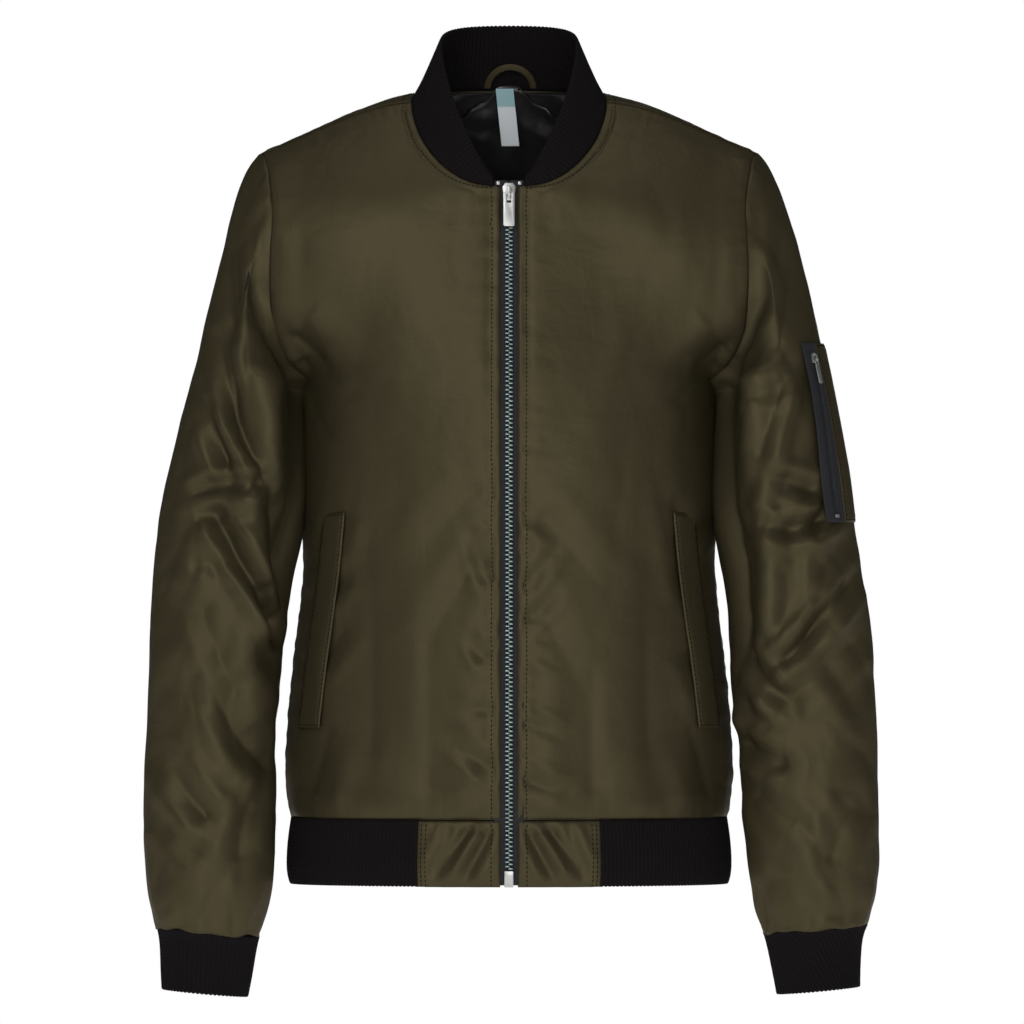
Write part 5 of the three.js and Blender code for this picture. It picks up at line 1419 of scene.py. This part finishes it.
class JACKET_OT_zips(bpy.types.Operator):
    """Makes the zip tapes and sets the teeth along them"""

    bl_idname = "jacket.zips"
    bl_label = "Zips"

    def execute(self, context):
        settings = context.scene.jacket_zips
        for side, way in SIDES.items():
            node = f"zip_tape_{side}"
            strips = read_strips(node, (way * 0.5, -117, -613), (way * 11.4, -117, -613))
            grid = finer_grid(grid_of(strips), 1.4 * MM)
            piece = woven_piece(f"tape_{side}", grid, "tape", HOLLOW_BODY)
            thicken(piece, TAPE_WALL, "tape")
            settle(piece, "garment", "tape", node)
        low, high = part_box("zip_chain")
        line = self.front_line(low.z, high.z)
        self.chain("zip_chain", line, settings.pitch, settings.tooth_width, 2.3 * MM)
        strips = read_strips("pocket_chain", (255, -69, -323), (257, -66, -323))
        grid = grid_of(strips)
        line = grid[:, grid.shape[1] // 2]
        self.chain("pocket_chain", line, settings.pocket_pitch, 2.0 * MM, 1.0 * MM)
        return {"FINISHED"}

    def front_line(self, bottom, top):
        line = zip_path()
        line[:, 1] += 0.55 * MM
        heights = np.linspace(bottom + 1.5 * MM, top - 1.2 * MM, 160)
        order = np.argsort(line[:, 2])
        return np.array([[0.0, np.interp(z, line[order, 2], line[order, 1]), z] for z in heights])

    def chain(self, node, line, pitch, width, thickness):
        """Two rows of teeth, rounded bars that take turns along a line."""
        total = np.linalg.norm(np.diff(line, axis=0), axis=1).sum()
        count = int(total / pitch)
        bm = bmesh.new()
        tree = frame_surface(node)
        before = Vector((0, -10 * MM, 0)) if node == "zip_chain" else Vector()
        size = Matrix.Diagonal((width, thickness, pitch * TOOTH_SHARE, 1.0))
        for pair in range(count):
            for way, half in ((1, 0.0), (-1, 0.5)):
                place, up = place_along(line, (pair + half) * pitch)
                out = tree.find_nearest(place + before)[1]
                across = up.cross(out).normalized()
                spot = turned_to(place + across * way * width * TOOTH_PLACE, across, up)
                bmesh.ops.create_cube(bm, size=1.0, matrix=spot @ size)
        bmesh.ops.bevel(
            bm, geom=list(bm.edges), offset=pitch * TOOTH_BEVEL, offset_type="OFFSET", segments=1,
            profile=0.5, affect="EDGES", material=-1,
        )
        piece = new_piece(f"teeth_{node}", bm, "teeth" if node == "zip_chain" else "pocket_teeth")
        settle(piece, "garment", "teeth", node)


def frame_surface(node):
    """A search tree of a CAD node's surface."""
    bm = merged_copy(node)
    tree = BVHTree.FromBMesh(bm)
    bm.free()
    return tree


class JACKET_OT_hardware(bpy.types.Operator):
    """Rounds the edges of the sliders, pulls, stops and box"""

    bl_idname = "jacket.hardware"
    bl_label = "Sliders, pulls and stops"

    def execute(self, context):
        parts = {
            "zip_slider": ("garment", 0.35),
            "zip_pull": ("zip_pull_tab", 0.3),
            "zip_box": ("garment", 0.4),
            "zip_stop_left": ("garment", 0.4),
            "zip_stop_right": ("garment", 0.4),
            "pocket_slider": ("garment", 0.2),
            "pocket_pull": ("pocket_pull_tab", 0.18),
            "pocket_stop": ("garment", 0.25),
        }
        for node, (body, rounding) in parts.items():
            bm = merged_copy(node)
            bmesh.ops.dissolve_limit(
                bm, angle_limit=math.radians(2), verts=bm.verts, edges=bm.edges,
                use_dissolve_boundaries=False,
            )
            piece = new_piece(f"metal_{node}", bm, "silver")
            edge = piece.modifiers.new("rounding", "BEVEL")
            edge.width = rounding * MM
            edge.segments = 3
            edge.limit_method = "ANGLE"
            edge.angle_limit = math.radians(25)
            edge.harden_normals = True
            settle(piece, body, "silver", node)
        return {"FINISHED"}


# Stitching
def inside_edge(grid, inset):
    """A line on a grid that keeps a distance from its first column."""
    line = []
    for row in grid:
        lengths = np.concatenate([[0], np.cumsum(np.linalg.norm(np.diff(row, axis=0), axis=1))])
        line.append([np.interp(inset, lengths, row[:, axis]) for axis in range(3)])
    return np.array(line)


def surface_of(name):
    """A search tree of a finished sheet, as it stands before its wall is added."""
    bm = bmesh.new()
    bm.from_mesh(bpy.data.objects[name].data)
    tree = BVHTree.FromBMesh(bm)
    bm.free()
    return tree


# How far a thread lies above the cloth and how flat it is, as shares of its width
THREAD_LIFT = 0.1
THREAD_FLATNESS = 0.6


def sew(bm, tree, line, length, gap, width):
    """Lays stitches end to end along a line on a surface."""
    total = np.linalg.norm(np.diff(line, axis=0), axis=1).sum()
    for stitch in range(int(total / (length + gap))):
        place, along = place_along(line, (stitch + 0.5) * (length + gap))
        spot, out, _, _ = tree.find_nearest(place)
        across = along.cross(out).normalized()
        axes = Matrix((across, out, along)).transposed().to_4x4()
        size = Matrix.Diagonal((width, width * THREAD_FLATNESS, length, 1.0))
        laid = Matrix.Translation(spot + out * width * THREAD_LIFT) @ axes @ size
        bmesh.ops.create_uvsphere(bm, u_segments=6, v_segments=4, radius=0.5, matrix=laid)


class JACKET_OT_stitching(bpy.types.Operator):
    """Sews the topstitching along the zip, neck, tabs and pockets"""

    bl_idname = "jacket.stitching"
    bl_label = "Stitching"

    def execute(self, context):
        frame_inset = 1.8 * MM
        rib_insets = (2.4 * MM, 6.0 * MM)
        for side in SIDES:
            line = inside_edge(grids[f"front_{side}"], STITCH_INSET)
            self.lines(f"stitches_front_{side}", f"shell_front_{side}", [line])
            tab = grids[f"hem_tab_{side}"]
            lines = [inside_edge(tab, STITCH_INSET)]
            lines += [inside_edge(tab[:, ::-1], inset) for inset in rib_insets]
            self.lines(f"stitches_tab_{side}", f"shell_hem_tab_{side}", lines)
            lines = self.frame_lines(grids[f"pocket_welt_{side}"], frame_inset)
            self.lines(f"stitches_welt_{side}", f"cloth_pocket_welt_{side}", lines)
        lines = [self.neck_line(grids[f"back_{side}"]) for side in SIDES]
        self.lines("stitches_back_neck", "shell_back", lines)
        lines = self.frame_lines(grids["sleeve_pocket"], frame_inset)
        self.lines("stitches_sleeve_pocket", "cloth_sleeve_pocket", lines)
        return {"FINISHED"}

    def neck_line(self, half):
        """A line beside the neck, from where a half of the back leaves the middle."""
        start = int(np.argmax(np.abs(half[:, 0, 0]) > 1 * MM))
        return inside_edge(half, STITCH_INSET)[start:]

    def frame_lines(self, grid, inset):
        """Lines inside all four edges of a patch."""
        turned = grid.transpose(1, 0, 2)
        return [inside_edge(side, inset) for side in (grid, grid[:, ::-1], turned, turned[:, ::-1])]

    def lines(self, name, surface, lines):
        settings = bpy.context.scene.jacket_stitching
        bm = bmesh.new()
        tree = surface_of(surface)
        for line in lines:
            sew(bm, tree, line, settings.length, settings.gap, settings.width)
        piece = new_piece(name, bm, "thread")
        settle(piece, "garment", "shell")


FLOOR_HEIGHT = -0.98
FLOOR_REACH = 7.5
LIGHT_AIM = (0, 0, -0.32)


class JACKET_OT_stage(bpy.types.Operator):
    """Sets up the camera, the soft lights and the pale studio"""

    bl_idname = "jacket.stage"
    bl_label = "Stage"

    def execute(self, context):
        settings = context.scene.jacket_stage
        middle = Vector((settings.middle_x, 0, settings.middle_z))
        camera = bpy.data.objects.new("camera", bpy.data.cameras.new("camera"))
        camera.location = middle + Vector((0, -settings.distance, 0))
        camera.rotation_euler = (math.pi / 2, 0, 0)
        camera.data.lens = camera.data.sensor_width * settings.distance / settings.view_width
        context.scene.collection.objects.link(camera)
        context.scene.camera = camera
        self.light("key", (-1.1, -2.8, 1.3), 0.7, settings.key)
        self.light("front", (0.2, -4.0, -0.1), 1.5, settings.key * 1.2)
        self.light("fill", (1.5, -2.8, 0.4), 0.8, settings.key * 0.2)
        self.light("top", (0.0, -0.3, 2.1), 0.9, settings.key * 0.3)
        self.light("back", (0.2, 3.6, -0.1), 1.4, settings.key * 0.7)
        self.studio()
        context.scene.world = self.surroundings(settings.ambient)
        context.scene.view_settings.view_transform = "Standard"
        return {"FINISHED"}

    def light(self, name, place, size, power):
        lamp = bpy.data.lights.new(name, "AREA")
        lamp.shape = "DISK"
        lamp.size = size
        lamp.energy = power
        light = bpy.data.objects.new(name, lamp)
        light.visible_camera = False
        light.location = place
        aim = Vector(LIGHT_AIM) - Vector(place)
        light.rotation_euler = aim.to_track_quat("-Z", "Y").to_euler()
        bpy.context.scene.collection.objects.link(light)

    def surroundings(self, ambient):
        """A world that looks white and gives a weak, even light."""
        world = bpy.data.worlds.new("studio")
        world.use_nodes = True
        nodes = world.node_tree.nodes
        links = world.node_tree.links
        weak = nodes["Background"]
        weak.inputs["Color"].default_value = (1.0, 1.0, 1.0, 1.0)
        weak.inputs["Strength"].default_value = ambient
        white = nodes.new("ShaderNodeBackground")
        white.inputs["Color"].default_value = (1.0, 1.0, 1.0, 1.0)
        chosen = nodes.new("ShaderNodeMixShader")
        links.new(nodes.new("ShaderNodeLightPath").outputs["Is Camera Ray"], chosen.inputs["Fac"])
        links.new(weak.outputs["Background"], chosen.inputs[1])
        links.new(white.outputs["Background"], chosen.inputs[2])
        links.new(chosen.outputs["Shader"], nodes["World Output"].inputs["Surface"])
        return world

    def studio(self):
        """A pale floor well below the jacket, which hangs as worn."""
        bm = bmesh.new()
        bmesh.ops.create_circle(bm, cap_ends=True, segments=96, radius=FLOOR_REACH)
        bmesh.ops.translate(bm, verts=bm.verts, vec=(0, 0, FLOOR_HEIGHT))
        new_piece("studio_floor", bm, "floor")


class JACKET_PT_panel(bpy.types.Panel):
    """Lists the steps that dress the jacket"""

    bl_idname = "JACKET_PT_panel"
    bl_label = "Bomber jacket"
    bl_space_type = "VIEW_3D"
    bl_region_type = "UI"
    bl_category = "Jacket"

    def draw(self, context):
        for step in STEPS:
            self.layout.operator(step.bl_idname)
        for name, group in GROUPS.items():
            box = self.layout.box()
            for setting in group.__annotations__:
                box.prop(getattr(context.scene, name), setting)


STEPS = (
    JACKET_OT_stage,
    JACKET_OT_fronts,
    JACKET_OT_back,
    JACKET_OT_sleeves,
    JACKET_OT_hem_tabs,
    JACKET_OT_ribs,
    JACKET_OT_linings,
    JACKET_OT_pockets,
    JACKET_OT_neck_trims,
    JACKET_OT_zips,
    JACKET_OT_hardware,
    JACKET_OT_stitching,
)
CLASSES = (*GROUPS.values(), *STEPS, JACKET_PT_panel)


def register():
    for cls in CLASSES:
        bpy.utils.register_class(cls)
    for name, group in GROUPS.items():
        setattr(bpy.types.Scene, name, PointerProperty(type=group))


def unregister():
    for name in GROUPS:
        delattr(bpy.types.Scene, name)
    for cls in reversed(CLASSES):
        bpy.utils.unregister_class(cls)


def main():
    register()
    for step in STEPS:
        family, name = step.bl_idname.split(".")
        getattr(getattr(bpy.ops, family), name)()


if __name__ == "__main__":
    main()
